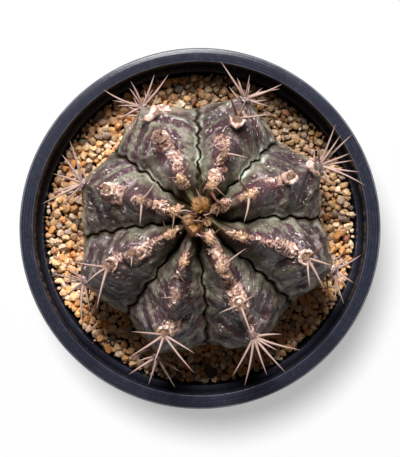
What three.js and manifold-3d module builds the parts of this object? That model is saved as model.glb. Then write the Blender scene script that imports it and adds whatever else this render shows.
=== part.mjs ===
// Potted round cactus: an eight-ribbed, spiny, flattened globe standing in a round plastic nursery
// pot of soil dressed with gravel. Millimetres, +Z up, origin at the centre of the pot's base.
// Angles are in degrees, counter-clockwise from +X, and latitudes run from 0 at the crown to 90 at
// the plant's widest level.
import * as THREE from 'three';
import { mergeVertices } from 'three/addons/utils/BufferGeometryUtils.js';
import Module from 'manifold-3d';

const wasm = await Module();
wasm.setup();

// ---- Driving dimensions --------------------------------------------------------------------------

const GAP = 0.3;                // clearance between neighbouring pieces

// Pot
const RIM_RADIUS = 45;
const RIM_WIDTH = 3.55;
const RIM_BAND = 9.5;           // height of the thick band under the rim
const POT_HEIGHT = 78;
const FOOT_RADIUS = 31;
const FOOT_RING_INNER = 25.5;
const FOOT_HEIGHT = 1.6;
const FLOOR_TOP = 3.2;
const WALL = 1.4;
const STEP_Z = 70.4;            // the inner step on which the planting level is judged
const STEP_RADIUS = 39.75;      // inside radius just under that step
const INNER_FLOOR_RADIUS = 30.1;
const POT_SEGMENTS = 56;
const DRAIN_HOLES = 6;
const DRAIN_RADIUS = 3.2;
const DRAIN_CIRCLE = 17;
const FOOT_NOTCHES = 4;
const FOOT_NOTCH_WIDTH = 8;

// Soil and gravel
const SOIL_TOP = 63.5;
const ROOT_HOLE_RADIUS = 9.4;
const ROOT_HOLE_FLOOR = 46;
const BED_TOP = 67.4;
const BED_RINGS = 4;            // rings and steps of the rough bed that shows between the grains
const BED_STEPS = 32;
const BED_ROUGHNESS = 0.55;
const STEM_HOLE_RADIUS = 19.5;
const GRAIN_RADIUS = [1.9, 2.7];
const GRAIN_LEVEL = 67.7;       // height of the grains' centres
const GRAIN_SPACING = 0.9;      // share of the two radii that keeps neighbours apart
const GRAIN_TRIES = 9000;
const GRAIN_SEED = 7;

// Plant
const CROWN = [0.3, 3.7];       // the growing point stands a little off the pot's axis
const EQUATOR_Z = 81;
const DOME_HEIGHT = 20.5;
const CROWN_DIP = 3;
const CROWN_DIP_RADIUS = 5;
const FURROW_DEPTH = 7.4;
const CHIN_HEIGHT = 1.1;        // the bump that each areole sits on
const RIPPLE = 0.25;            // cross folds of the skin
const COLLAR_RADIUS = 19;
const COLLAR_Z = 70.2;
const ROOT = [[18.6, 66], [9, 63.9], [7.6, 56], [5.6, ROOT_HOLE_FLOOR + 0.6]];

// Each rib, counter-clockwise: its azimuth at the shoulder and at the crown, its reach from the
// crown, the latitudes of its areoles, and the azimuths and reach of the furrow that follows it.
const RIBS = [
  { shoulder: 22, crown: 20, reach: 31.2, areoles: [9, 22, 45, 88],
    furrow: { shoulder: 44, crown: 38, reach: 25.4 } },
  { shoulder: 69, crown: 69, reach: 31.6, areoles: [13, 28, 49, 72],
    furrow: { shoulder: 92, crown: 94, reach: 25.6 } },
  { shoulder: 119, crown: 121, reach: 31.2, areoles: [18, 42, 88],
    furrow: { shoulder: 144.5, crown: 152, reach: 26.3 } },
  { shoulder: 166, crown: 178, reach: 31.2, areoles: [12, 27, 48, 77],
    furrow: { shoulder: 191.5, crown: 200, reach: 29.2 } },
  { shoulder: 210, crown: 215, reach: 35.8, areoles: [15, 33, 47, 72],
    furrow: { shoulder: 233.5, crown: 234, reach: 30.5 } },
  { shoulder: 253, crown: 248, reach: 37.3, areoles: [19, 34, 54, 88],
    furrow: { shoulder: 272.5, crown: 264, reach: 31.8 } },
  { shoulder: 293, crown: 289, reach: 36.6, areoles: [10, 22, 40, 62],
    furrow: { shoulder: 315, crown: 304, reach: 30.8 } },
  { shoulder: 337, crown: 326, reach: 35.5, areoles: [18, 49, 88],
    furrow: { shoulder: 357, crown: 341, reach: 29 } },
];

// Spines of each areole, rib by rib in the order above, crown to shoulder. Each is its bearing
// from the rib's own azimuth, its length seen from above, and its rise above the horizontal.
const SPINES = [
  [[[-50, 3, 40], [130, 3.6, 45]],
    [[108, 6.5, 28], [-122, 6.8, 24]],
    [],
    [[71, 4.7, 30], [47, 10.9, 4], [34, 9, 16], [22, 11.1, 2], [0, 8, 12], [-13, 8.3, 4], [-31, 10.1, 6],
      [-46, 12.4, 8], [-79, 6.8, 0]]],
  [[[-112, 4, 35], [91, 3.7, 40]],
    [[76, 5.2, 22], [-81, 5.8, 20]],
    [[43, 7.8, 26], [-62, 8.5, 12], [-2, 5.7, 38]],
    [[55, 10.8, 12], [43, 5.4, 20], [11, 5.6, 34], [-48, 9.6, 8], [-53, 8.8, -6], [-87, 6.3, -4]]],
  [[[-64, 4.6, 38], [60, 3.4, 40]],
    [[-55, 4.2, 45]],
    [[37, 10.6, 8], [48, 7.7, -4], [59, 6.2, 14], [89, 6.4, 0], [-5, 6.8, 22], [5, 5.6, 4], [-50, 8.5, 14],
      [-68, 10.2, 6], [-60, 5.2, -10]]],
  [[[-64, 4.8, 34], [88, 4.6, 30]],
    [[97, 6, 12], [-114, 6.9, 26]],
    [[-4, 3.9, 40]],
    [[-60, 10.9, 8], [-41, 8.8, 2], [-5, 7.6, 6], [41, 10.9, 10], [32, 8.3, -4], [59, 8.8, -6]]],
  [[[-100, 3.6, 40]],
    [[60, 3.2, 45]],
    [[-40, 8.8, 16], [7, 6.2, 28], [46, 10.2, 10]],
    [[-44, 8, 10], [-70, 5.8, 4], [-56, 4.3, 28], [11, 6.9, 8], [59, 10.7, 4], [72, 7.6, -4]]],
  [[[150, 3, 45]],
    [[-75, 3.4, 40]],
    [[-80, 7.8, 14], [-41, 9.9, 12], [-3, 7.2, 30], [77, 8.6, 14], [56, 11.6, 8]],
    [[-41, 8.5, -2], [-1, 7.3, 0], [47, 8.9, -2], [74, 6.8, 2], [-59, 5.1, 6]]],
  [[[115, 3.3, 40], [-121, 3.8, 34]],
    [[157, 2.2, 50], [108, 7.2, 22]],
    [[-92, 5.6, 14], [103, 4.3, 22], [-3, 7.9, 20]],
    [[-52, 10.8, 6], [-34, 11.9, 4], [-4, 9.7, 10], [19, 11.6, 6], [52, 11.6, 12], [38, 6.6, 18],
      [73, 6.8, 4], [174, 3.4, 30]]],
  [[[113, 2.2, 45], [-152, 2.7, 40]],
    [[62, 6.4, 26], [6, 6.8, 16], [-63, 7.2, 12], [-39, 8.4, 4]],
    [[53, 7.5, 12], [66, 5.4, 6], [-11, 5.7, 14], [-51, 8.8, 0], [-67, 7.7, 8], [-34, 5.3, 20]]],
];
const LOW_AREOLE = 0.35;        // each rib's last areole, as a share of the way down to the collar
const LOW_SPINES = [[-58, 6, 2], [-27, 6.4, -4], [4, 5.6, -8], [31, 6.2, -3], [60, 5.8, 3]];
const SPINE_BASE = 0.42;
const SPINE_WAIST = 0.3;        // radius part of the way along
const SPINE_SINK = 0.9;
const SPINE_SPREAD = 0.55;      // how far round the areole each spine's root stands from its middle
const SPINE_BEND = 0.07;        // how far its middle bows, as a share of its length
const STRAIGHT_SPINE = 6;       // shorter spines don't bow
const AREOLE_RADIUS = 1.5;

// Crown wool: felted tufts round the growing point, [x, y from the crown, radius]
const WOOL = [[-0.2, 1.9, 2.0], [-1.9, -1.5, 1.6], [1.3, -1.7, 1.5], [-0.2, -0.1, 1.6]];
const WOOL_LEVEL = 99.9;
const YOUNG_SPINES = [
  [20, 3, 40], [75, 2.6, 55], [140, 3.2, 35], [205, 2.8, 50], [262, 3, 45], [325, 3.2, 38],
];

const YOUNG_SPINE_SCALE = 0.75;

// Accent stones that stand out from the gravel: x, y, half sizes along and across, turn, colour
const PEBBLES = {
  pale_pebble: [-5, 31.6, 1.75, 1.35, -30, 0xd8c8a4],
  slate_pebble: [-5.5, 35.3, 1.6, 1.45, 20, 0x3b3c40],
  black_pebble: [2.6, -35.9, 2.1, 1.7, 60, 0x23211f],
  amber_pebble: [34.6, -2.4, 1.7, 1.4, 40, 0xb9772f],
};
const PEBBLE_LEVEL = 68.5;
const PEBBLE_FLATNESS = 0.72;

const COLOURS = {
  pot: [0x32333d, 0.42], potting_soil: [0x2a1d14, 0.95], gravel_dressing: [0xa37d54, 0.85],
  cactus_stem: [0x6d6455, 0.5], crown_wool: [0xb98844, 0.95], pebble: 0.8,
};

// ---- Small helpers -------------------------------------------------------------------------------

const mix = (a, b, t) => a + (b - a) * t;
const clamp01 = (x) => Math.min(1, Math.max(0, x));
const smooth = (a, b, x) => {
  const t = clamp01((x - a) / (b - a));
  return t * t * (3 - 2 * t);
};
const radians = THREE.MathUtils.degToRad;

// Repeatable random numbers from 0 to 1
function randomFrom(seed) {
  let state = seed;
  return () => {
    state = (Math.imul(state, 1664525) + 1013904223) >>> 0;
    return state / 4294967296;
  };
}

// A closed geometry as a solid, with its shared vertices merged and its faces turned outwards
function toSolid(geometry) {
  const bare = geometry.clone();
  for (const name of Object.keys(bare.attributes)) {
    if (name !== 'position') bare.deleteAttribute(name);
  }
  const merged = mergeVertices(bare, 1e-4);
  const at = merged.attributes.position;
  const corners = [];
  let volume = 0;
  const p = [new THREE.Vector3(), new THREE.Vector3(), new THREE.Vector3()];
  for (let i = 0; i < merged.index.count; i += 3) {
    const face = [0, 1, 2].map((k) => merged.index.getX(i + k));
    if (new Set(face).size < 3) continue;
    corners.push(face);
    face.forEach((v, k) => p[k].fromBufferAttribute(at, v));
    volume += p[0].dot(p[1].clone().cross(p[2]));
  }
  if (volume < 0) corners.forEach((face) => face.reverse());
  return new wasm.Manifold(new wasm.Mesh({
    numProp: 3, vertProperties: new Float32Array(at.array), triVerts: Uint32Array.from(corners.flat()),
  }));
}

function toGeometry(solid) {
  const mesh = solid.getMesh();
  const geometry = new THREE.BufferGeometry();
  geometry.setAttribute('position', new THREE.BufferAttribute(mesh.vertProperties, 3));
  geometry.setIndex(new THREE.BufferAttribute(mesh.triVerts, 1));
  geometry.computeVertexNormals();
  return geometry;
}

// The largest body of a solid that cutting has left in several
function largest(solid) {
  return solid.decompose().reduce((a, b) => (a.volume() > b.volume() ? a : b));
}

const fuse = (solids) => solids.reduce((whole, next) => whole.add(next));

// A profile of [radius, z] pairs turned about the Z axis
function turned(profile, segments) {
  const points = profile.map(([radius, z]) => new THREE.Vector2(radius, z));
  return toSolid(new THREE.LatheGeometry(points, segments).rotateX(Math.PI / 2));
}

// A stone: an icosahedron stretched to its half sizes, turned and set in place
function stone(random, position, halfSizes, turn) {
  const spin = new THREE.Euler(random() * 6, random() * 6, random() * 6);
  const geometry = new THREE.IcosahedronGeometry(1, 0)
    .applyMatrix4(new THREE.Matrix4().makeRotationFromEuler(spin))
    .scale(...halfSizes)
    .rotateZ(radians(turn))
    .translate(...position);
  return toSolid(geometry);
}

// ---- Pot -----------------------------------------------------------------------------------------

// Inside radius of the pot at a height, from the floor up to the step
function insideRadius(z) {
  return mix(INNER_FLOOR_RADIUS, STEP_RADIUS, (z - FLOOR_TOP) / (STEP_Z - FLOOR_TOP));
}

function makePot() {
  const lip = RIM_RADIUS - RIM_WIDTH;
  const bandFoot = POT_HEIGHT - RIM_BAND;
  const underBand = insideRadius(bandFoot - 1.5) + WALL;
  const body = turned([
    [0, FOOT_HEIGHT], [FOOT_RING_INNER, FOOT_HEIGHT], [FOOT_RING_INNER + 0.6, 0],
    [FOOT_RADIUS - 0.7, 0], [FOOT_RADIUS, 0.7], [underBand, bandFoot - 1.5],
    [RIM_RADIUS - 0.9, bandFoot], [RIM_RADIUS - 0.35, bandFoot + 0.5],
    [RIM_RADIUS, POT_HEIGHT - 1.7], [RIM_RADIUS - 0.25, POT_HEIGHT - 0.8],
    [RIM_RADIUS - 0.9, POT_HEIGHT - 0.15], [RIM_RADIUS - 1.8, POT_HEIGHT],
    [lip + 0.5, POT_HEIGHT - 0.1], [lip, POT_HEIGHT - 0.6],
    [lip - 0.6, STEP_Z + 1.1], [STEP_RADIUS, STEP_Z],
    [INNER_FLOOR_RADIUS, FLOOR_TOP], [0, FLOOR_TOP],
  ], POT_SEGMENTS);
  let pot = body;
  for (let i = 0; i < DRAIN_HOLES; i += 1) {
    const angle = (i / DRAIN_HOLES) * 2 * Math.PI;
    const hole = new THREE.CylinderGeometry(DRAIN_RADIUS, DRAIN_RADIUS, 8, 10)
      .rotateX(Math.PI / 2)
      .translate(DRAIN_CIRCLE * Math.cos(angle), DRAIN_CIRCLE * Math.sin(angle), FOOT_HEIGHT);
    pot = pot.subtract(toSolid(hole));
  }
  for (let i = 0; i < FOOT_NOTCHES; i += 1) {
    const notch = new THREE.BoxGeometry(12, FOOT_NOTCH_WIDTH, 2 * FOOT_HEIGHT)
      .translate(FOOT_RADIUS, 0, 0)
      .rotateZ(radians(45 + (i * 360) / FOOT_NOTCHES));
    pot = pot.subtract(toSolid(notch));
  }
  return pot;
}

// ---- Soil and gravel -----------------------------------------------------------------------------

function makeSoil() {
  const floor = FLOOR_TOP + GAP;
  return turned([
    [0, floor], [insideRadius(floor) - GAP, floor], [insideRadius(SOIL_TOP) - GAP, SOIL_TOP],
    [ROOT_HOLE_RADIUS, SOIL_TOP], [ROOT_HOLE_RADIUS - 1.4, ROOT_HOLE_FLOOR], [0, ROOT_HOLE_FLOOR],
  ], POT_SEGMENTS / 2);
}

// Grains larger than life, scattered over the bed as close as they will lie and sunk into it
function scatterGrains(keepOff) {
  const random = randomFrom(GRAIN_SEED);
  const inner = STEM_HOLE_RADIUS + GRAIN_RADIUS[0];
  const outer = insideRadius(GRAIN_LEVEL) - GAP;
  const grains = [];
  for (let i = 0; i < GRAIN_TRIES; i += 1) {
    const radius = mix(GRAIN_RADIUS[0], GRAIN_RADIUS[1], random());
    const out = Math.sqrt(mix(inner ** 2, outer ** 2, random()));
    const angle = random() * 2 * Math.PI;
    const [x, y] = [out * Math.cos(angle), out * Math.sin(angle)];
    const free = (other) => Math.hypot(x - other.x, y - other.y) > GRAIN_SPACING * (radius + other.radius);
    if (out + radius < outer && out - radius > STEM_HOLE_RADIUS
      && grains.every(free) && keepOff.every(free)) grains.push({ x, y, radius });
  }
  return grains.map(({ x, y, radius }) => {
    const sizes = [radius, radius * mix(0.8, 1, random()), radius * mix(0.55, 0.75, random())];
    return stone(random, [x, y, GRAIN_LEVEL + (random() - 0.5) * 0.6], sizes, random() * 360);
  });
}

function makePebbles(grow) {
  return Object.entries(PEBBLES).map(([, [x, y, along, across, turn]], i) => {
    const sizes = [along + grow, across + grow, along * PEBBLE_FLATNESS + grow];
    return stone(randomFrom(i + 3), [x, y, PEBBLE_LEVEL], sizes, turn);
  });
}

// The bed under the grains: a ring with a plain hole for the stem and a rough top
function makeBed() {
  const random = randomFrom(GRAIN_SEED + 1);
  const floor = SOIL_TOP + GAP;
  const outside = insideRadius(BED_TOP) - GAP;
  const profile = [[STEM_HOLE_RADIUS, floor], [insideRadius(floor) - GAP, floor]];
  for (let i = 0; i <= BED_RINGS; i += 1) {
    profile.push([mix(outside, STEM_HOLE_RADIUS, i / BED_RINGS), BED_TOP]);
  }
  profile.push(profile[0]);
  const points = profile.map(([radius, z]) => new THREE.Vector2(radius, z));
  const geometry = new THREE.LatheGeometry(points, BED_STEPS).rotateX(Math.PI / 2);
  const at = geometry.attributes.position;
  for (let step = 0; step < BED_STEPS; step += 1) {
    for (let i = 1; i < BED_RINGS; i += 1) {
      const vertex = step * profile.length + 2 + i;
      const height = BED_TOP + (2 * random() - 1) * BED_ROUGHNESS;
      at.setZ(vertex, height);
      if (step === 0) at.setZ(vertex + BED_STEPS * profile.length, height);
    }
  }
  return toSolid(geometry);
}

function makeGravel() {
  const keepOff = Object.values(PEBBLES).map(([x, y, along]) => ({ x, y, radius: along }));
  const whole = fuse([makeBed(), ...scatterGrains(keepOff)]);
  return largest(makePebbles(1.25 * GAP).reduce((rest, seat) => rest.subtract(seat), whole));
}

// ---- Plant ---------------------------------------------------------------------------------------

// Azimuth, envelope reach and furrow share at a place across a rib, where side runs from -1 at the
// furrow before it, through 0 on its crest, to 1 at the furrow after it
function acrossRib(index, side, outward) {
  const rib = RIBS[index];
  const before = (index + RIBS.length - 1) % RIBS.length;
  const furrowIndex = side < 0 ? before : index;
  const furrow = RIBS[furrowIndex].furrow;
  const lap = side < 0 && index === 0 ? -360 : 0;
  const neighbour = RIBS[side < 0 ? before : (index + 1) % RIBS.length];
  const share = Math.abs(side);
  const settle = smooth(0.1, 0.6, outward);
  const ribAzimuth = mix(rib.crown, rib.shoulder, settle);
  const furrowAzimuth = mix(furrow.crown, furrow.shoulder, settle) + lap;
  const envelope = (rib.reach + neighbour.reach) / 2;
  return {
    azimuth: radians(mix(ribAzimuth, furrowAzimuth, share)),
    reach: mix(rib.reach, envelope, share),
    shoulderDepth: envelope - furrow.reach,
    share,
  };
}

// How far the skin is drawn in between crest and furrow: rounded crests high up, straight-sided
// and sharper ones at the shoulder
function furrowShape(share, outward) {
  const power = mix(1.6, 0.7, outward ** 2);
  const round = 0.12;
  const rise = (k) => (k * k + round * round) ** (power / 2) - round ** power;
  return rise(share) / rise(1);
}

// Chins: the crest swells just below each areole and dips just above it
function chin(index, share, latitude) {
  const onCrest = (1 - share) ** 2;
  return RIBS[index].areoles.reduce((sum, at) => {
    const below = Math.exp(-(((latitude - at - 3) / 5) ** 2));
    const above = Math.exp(-(((latitude - at + 7) / 3.5) ** 2));
    return sum + onCrest * CHIN_HEIGHT * (below - 0.7 * above);
  }, 0);
}

// A point of the skin above the widest level. The crest follows a quarter ellipse, and everything
// else is moved along that ellipse's normal.
function domePoint(index, side, latitude, ripple = 0) {
  const outward = Math.sin(radians(latitude));
  const upward = Math.cos(radians(latitude));
  const { azimuth, reach, shoulderDepth, share } = acrossRib(index, side, outward);
  const depth = mix(FURROW_DEPTH, shoulderDepth, smooth(0.7, 1, outward)) * smooth(0, 0.6, outward);
  const push = chin(index, share, latitude) + ripple - depth * furrowShape(share, outward);
  const normal = new THREE.Vector2(outward / reach, upward / DOME_HEIGHT).normalize();
  const out = reach * outward + push * normal.x;
  const dip = CROWN_DIP * Math.exp(-((reach * outward / CROWN_DIP_RADIUS) ** 2));
  const z = EQUATOR_Z + DOME_HEIGHT * upward + push * normal.y - dip;
  return new THREE.Vector3(CROWN[0] + out * Math.cos(azimuth), CROWN[1] + out * Math.sin(azimuth), z);
}

// A point of the skin below the widest level, drawn in from the outline to the round collar
function undersidePoint(index, side, down, ripple = 0) {
  const outline = domePoint(index, side, 90, ripple);
  const { azimuth } = acrossRib(index, side, 1);
  const turn = radians(down * 90);
  const inward = 1 - Math.cos(turn) ** 0.9;
  const z = EQUATOR_Z - (EQUATOR_Z - COLLAR_Z) * Math.sin(turn);
  const collar = new THREE.Vector3(COLLAR_RADIUS * Math.cos(azimuth), COLLAR_RADIUS * Math.sin(azimuth), z);
  return new THREE.Vector3(outline.x, outline.y, z).lerp(collar, inward);
}

const SIDES = [-1, -0.75, -0.45, -0.18, 0, 0.18, 0.45, 0.75];
const LATITUDES = [6, 11, 16, 21, 26, 31, 37, 43, 49, 55, 62, 69, 76, 83, 90];
const DESCENTS = [0.2, 0.4, 0.6, 0.8, 1];

// The skin: rings of points from the crown down to the root, closed by a point at each end
function makeSkin() {
  const rings = [];
  const ring = (place) => rings.push(RIBS.flatMap((_, i) => SIDES.map((side) => place(i, side))));
  LATITUDES.forEach((latitude, row) => {
    const fold = RIPPLE * (row % 2 ? 1 : -1) * smooth(0.2, 0.4, row / LATITUDES.length);
    ring((i, side) => domePoint(i, side, latitude, fold));
  });
  DESCENTS.forEach((down) => ring((i, side) => undersidePoint(i, side, down)));
  ROOT.forEach(([radius, z]) => ring((i, side) => {
    const { azimuth } = acrossRib(i, side, 1);
    return new THREE.Vector3(radius * Math.cos(azimuth), radius * Math.sin(azimuth), z);
  }));
  const count = rings[0].length;
  const top = new THREE.Vector3(CROWN[0], CROWN[1], EQUATOR_Z + DOME_HEIGHT - CROWN_DIP);
  const bottom = new THREE.Vector3(0, 0, ROOT.at(-1)[1] - 0.2);
  const points = [...rings.flat(), top, bottom];
  const faces = [];
  for (let i = 0; i < count; i += 1) {
    const next = (i + 1) % count;
    faces.push(points.length - 2, i, next);
    for (let row = 0; row < rings.length - 1; row += 1) {
      const [a, b] = [row * count + i, row * count + next];
      const [c, d] = [a + count, b + count];
      faces.push(a, c, b, b, c, d);
    }
    const last = (rings.length - 1) * count;
    faces.push(points.length - 1, last + next, last + i);
  }
  const geometry = new THREE.BufferGeometry().setFromPoints(points);
  geometry.setIndex(faces);
  return toSolid(geometry);
}

// A three-sided spine: a tapering needle with its root sunk in, bowed if it is long
function makeSpine(root, azimuth, [bearing, span, rise], scale = 1) {
  const heading = radians(azimuth + bearing);
  const climb = radians(rise);
  const along = new THREE.Vector3(
    Math.cos(climb) * Math.cos(heading), Math.cos(climb) * Math.sin(heading), Math.sin(climb));
  const across = new THREE.Vector3(-Math.sin(heading), Math.cos(heading), 0);
  const above = new THREE.Vector3().crossVectors(along, across);
  const length = (span - SPINE_SPREAD) / Math.cos(climb);
  const start = root.clone();
  start.x += SPINE_SPREAD * Math.cos(heading);
  start.y += SPINE_SPREAD * Math.sin(heading);
  const points = [];
  const section = (distance, radius, lift) => {
    const centre = start.clone().addScaledVector(along, distance).addScaledVector(above, lift);
    for (let k = 0; k < 3; k += 1) {
      const turn = radians(90 + 120 * k);
      points.push(centre.clone().addScaledVector(across, scale * radius * Math.cos(turn))
        .addScaledVector(above, scale * radius * Math.sin(turn)));
    }
  };
  section(-SPINE_SINK, SPINE_BASE, 0);
  if (span > STRAIGHT_SPINE) section(length * 0.55, SPINE_WAIST, length * SPINE_BEND);
  points.push(start.clone().addScaledVector(along, length));
  const tip = points.length - 1;
  const faces = [0, 2, 1];
  for (let k = 0; k < 3; k += 1) {
    const next = (k + 1) % 3;
    for (let level = 0; level < tip - 3; level += 3) {
      faces.push(level + k, level + next, level + 3 + next, level + k, level + 3 + next, level + 3 + k);
    }
    faces.push(tip - 3 + k, tip - 3 + next, tip);
  }
  const geometry = new THREE.BufferGeometry().setFromPoints(points);
  geometry.setIndex(faces);
  return toSolid(geometry);
}

// An areole: a felted cushion on the crest with its spines
function makeAreole(place, azimuth, spines, size) {
  const cushion = new THREE.IcosahedronGeometry(1, 0).scale(size, size, size * 0.75)
    .translate(place.x, place.y, place.z);
  return [toSolid(cushion), ...spines.map((spine) => makeSpine(place, azimuth, spine))];
}

function makeStem() {
  const pieces = [makeSkin()];
  RIBS.forEach((rib, i) => {
    rib.areoles.forEach((latitude, j) => {
      const { azimuth } = acrossRib(i, 0, Math.sin(radians(latitude)));
      const size = AREOLE_RADIUS * mix(0.75, 1, clamp01(latitude / 50));
      const heading = THREE.MathUtils.radToDeg(azimuth);
      pieces.push(...makeAreole(domePoint(i, 0, latitude), heading, SPINES[i][j], size));
    });
    const low = undersidePoint(i, 0, LOW_AREOLE);
    pieces.push(...makeAreole(low, rib.shoulder, LOW_SPINES, AREOLE_RADIUS));
  });
  return fuse(pieces);
}

// Wool and young spines round the growing point, trimmed clear of the skin beneath
function makeWool(stem) {
  const tufts = WOOL.map(([x, y, radius]) => toSolid(new THREE.IcosahedronGeometry(radius, 0)
    .translate(CROWN[0] + x, CROWN[1] + y, WOOL_LEVEL)));
  const centre = new THREE.Vector3(CROWN[0], CROWN[1], WOOL_LEVEL + 0.4);
  const spines = YOUNG_SPINES.map((spine) => makeSpine(centre, 0, spine, YOUNG_SPINE_SCALE));
  return largest(fuse([...tufts, ...spines]).subtract(stem.translate([0, 0, 1.3 * GAP])));
}

// ---- Assembly ------------------------------------------------------------------------------------

function piece(name, solid, [color, roughness]) {
  const material = new THREE.MeshStandardMaterial({ color, roughness, metalness: 0 });
  const mesh = new THREE.Mesh(toGeometry(solid), material);
  mesh.name = name;
  return mesh;
}

const stem = makeStem();
const plant = new THREE.Group();
plant.add(piece('cactus_stem', stem, COLOURS.cactus_stem));
plant.add(piece('crown_wool', makeWool(stem), COLOURS.crown_wool));

const planting = new THREE.Group();
planting.add(piece('potting_soil', makeSoil(), COLOURS.potting_soil));
planting.add(piece('gravel_dressing', makeGravel(), COLOURS.gravel_dressing));
const pebbleSolids = makePebbles(0);
Object.entries(PEBBLES).forEach(([name, sizes], i) => {
  planting.add(piece(name, pebbleSolids[i], [sizes.at(-1), COLOURS.pebble]));
});

const pottedCactus = new THREE.Group();
pottedCactus.add(piece('pot', makePot(), COLOURS.pot), planting, plant);

export default pottedCactus;
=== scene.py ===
import math

import bmesh
import bpy
import numpy as np
from bpy.props import FloatProperty, FloatVectorProperty, IntProperty, PointerProperty
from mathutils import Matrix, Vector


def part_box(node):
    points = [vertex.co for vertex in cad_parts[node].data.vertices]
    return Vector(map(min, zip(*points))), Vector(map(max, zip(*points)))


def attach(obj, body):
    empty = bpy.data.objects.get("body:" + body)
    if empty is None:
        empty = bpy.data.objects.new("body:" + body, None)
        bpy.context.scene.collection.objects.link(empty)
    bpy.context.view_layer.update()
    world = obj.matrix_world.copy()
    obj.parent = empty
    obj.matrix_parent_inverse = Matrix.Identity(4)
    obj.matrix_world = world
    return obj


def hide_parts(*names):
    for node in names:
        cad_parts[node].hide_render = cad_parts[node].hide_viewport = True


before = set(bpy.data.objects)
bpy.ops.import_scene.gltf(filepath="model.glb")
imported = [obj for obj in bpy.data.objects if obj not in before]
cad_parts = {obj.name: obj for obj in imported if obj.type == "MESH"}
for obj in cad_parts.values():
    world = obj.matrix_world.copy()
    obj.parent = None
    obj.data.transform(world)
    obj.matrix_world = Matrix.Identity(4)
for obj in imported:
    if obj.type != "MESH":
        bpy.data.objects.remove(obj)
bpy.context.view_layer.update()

bl_info = {
    "name": "Potted round cactus",
    "version": (1, 0, 0),
    "blender": (4, 5, 0),
    "location": "View3D > Sidebar > Cactus",
    "description": "Dresses a packed pot, gravel and eight-ribbed cactus with fine surfaces",
    "category": "Add Mesh",
}

# Shapes are worked out in millimetres, with angles in degrees, and put into metres by add_piece.
MM = 0.001

# ---- Driving sizes --------------------------------------------------------------------------------
# They are the part's own, but that the chins stand half a millimetre higher here and the ribs reach
# up to 1.2 mm further or less, to follow the photo more closely.

# The growing point: x and y
CROWN = (0.3, 3.7)
# The widest level of the plant, the dome over it, and the dip round the growing point
EQUATOR_Z = 81.0
DOME_HEIGHT = 20.5
CROWN_DIP = 3.0
CROWN_DIP_RADIUS = 5.0
FURROW_DEPTH = 7.4
CHIN_HEIGHT = 1.6
# Where a furrow's lip lies, as a share of the way from the crest to the furrow
LIP_SHARE = 0.9
# The round collar under the plant's globe, and the root below it: radius and height
COLLAR_RADIUS = 19.0
COLLAR_Z = 70.2
ROOT = ((18.6, 66.0), (9.0, 63.9), (7.6, 56.0), (5.6, 46.6))

# The inside of the pot's wall at its floor and at the step under its rim: radius and height
POT_FLOOR = (30.1, 3.2)
POT_STEP = (39.75, 70.4)
# Its underside inside the foot ring, the foot of its rim band, and its holes and notches: how
# many, on what radius, and their radius or size
POT_UNDERSIDE = 1.6
BAND_FOOT = 67.0
DRAIN_HOLES, DRAIN_CIRCLE, DRAIN_RADIUS = 6, 17, 3.2
FOOT_NOTCHES, FOOT_RADIUS, NOTCH_SIZE = 4, 31, (12, 8, 3.2)

# Each rib, counter-clockwise: azimuth at the shoulder and at the crown, reach from the crown, and
# the same three for the furrow that follows it.
RIBS = np.array([
    (22, 20, 31.5, 44, 38, 25.4),
    (69, 69, 31.3, 92, 94, 25.4),
    (119, 121, 30.0, 144.5, 152, 26.1),
    (166, 178, 30.7, 191.5, 200, 29.0),
    (210, 215, 34.6, 233.5, 234, 30.5),
    (253, 248, 37.0, 272.5, 264, 31.8),
    (293, 289, 36.2, 315, 304, 30.8),
    (337, 326, 35.7, 357, 341, 29),
])
RIB_COUNT = len(RIBS)

# Latitudes of each rib's areoles, from the crown down
AREOLES = (
    (9, 22, 45, 88), (13, 28, 49, 72), (18, 42, 88), (12, 27, 48, 77),
    (15, 33, 47, 72), (19, 34, 54, 88), (10, 22, 40, 62), (18, 49, 88),
)

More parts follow.
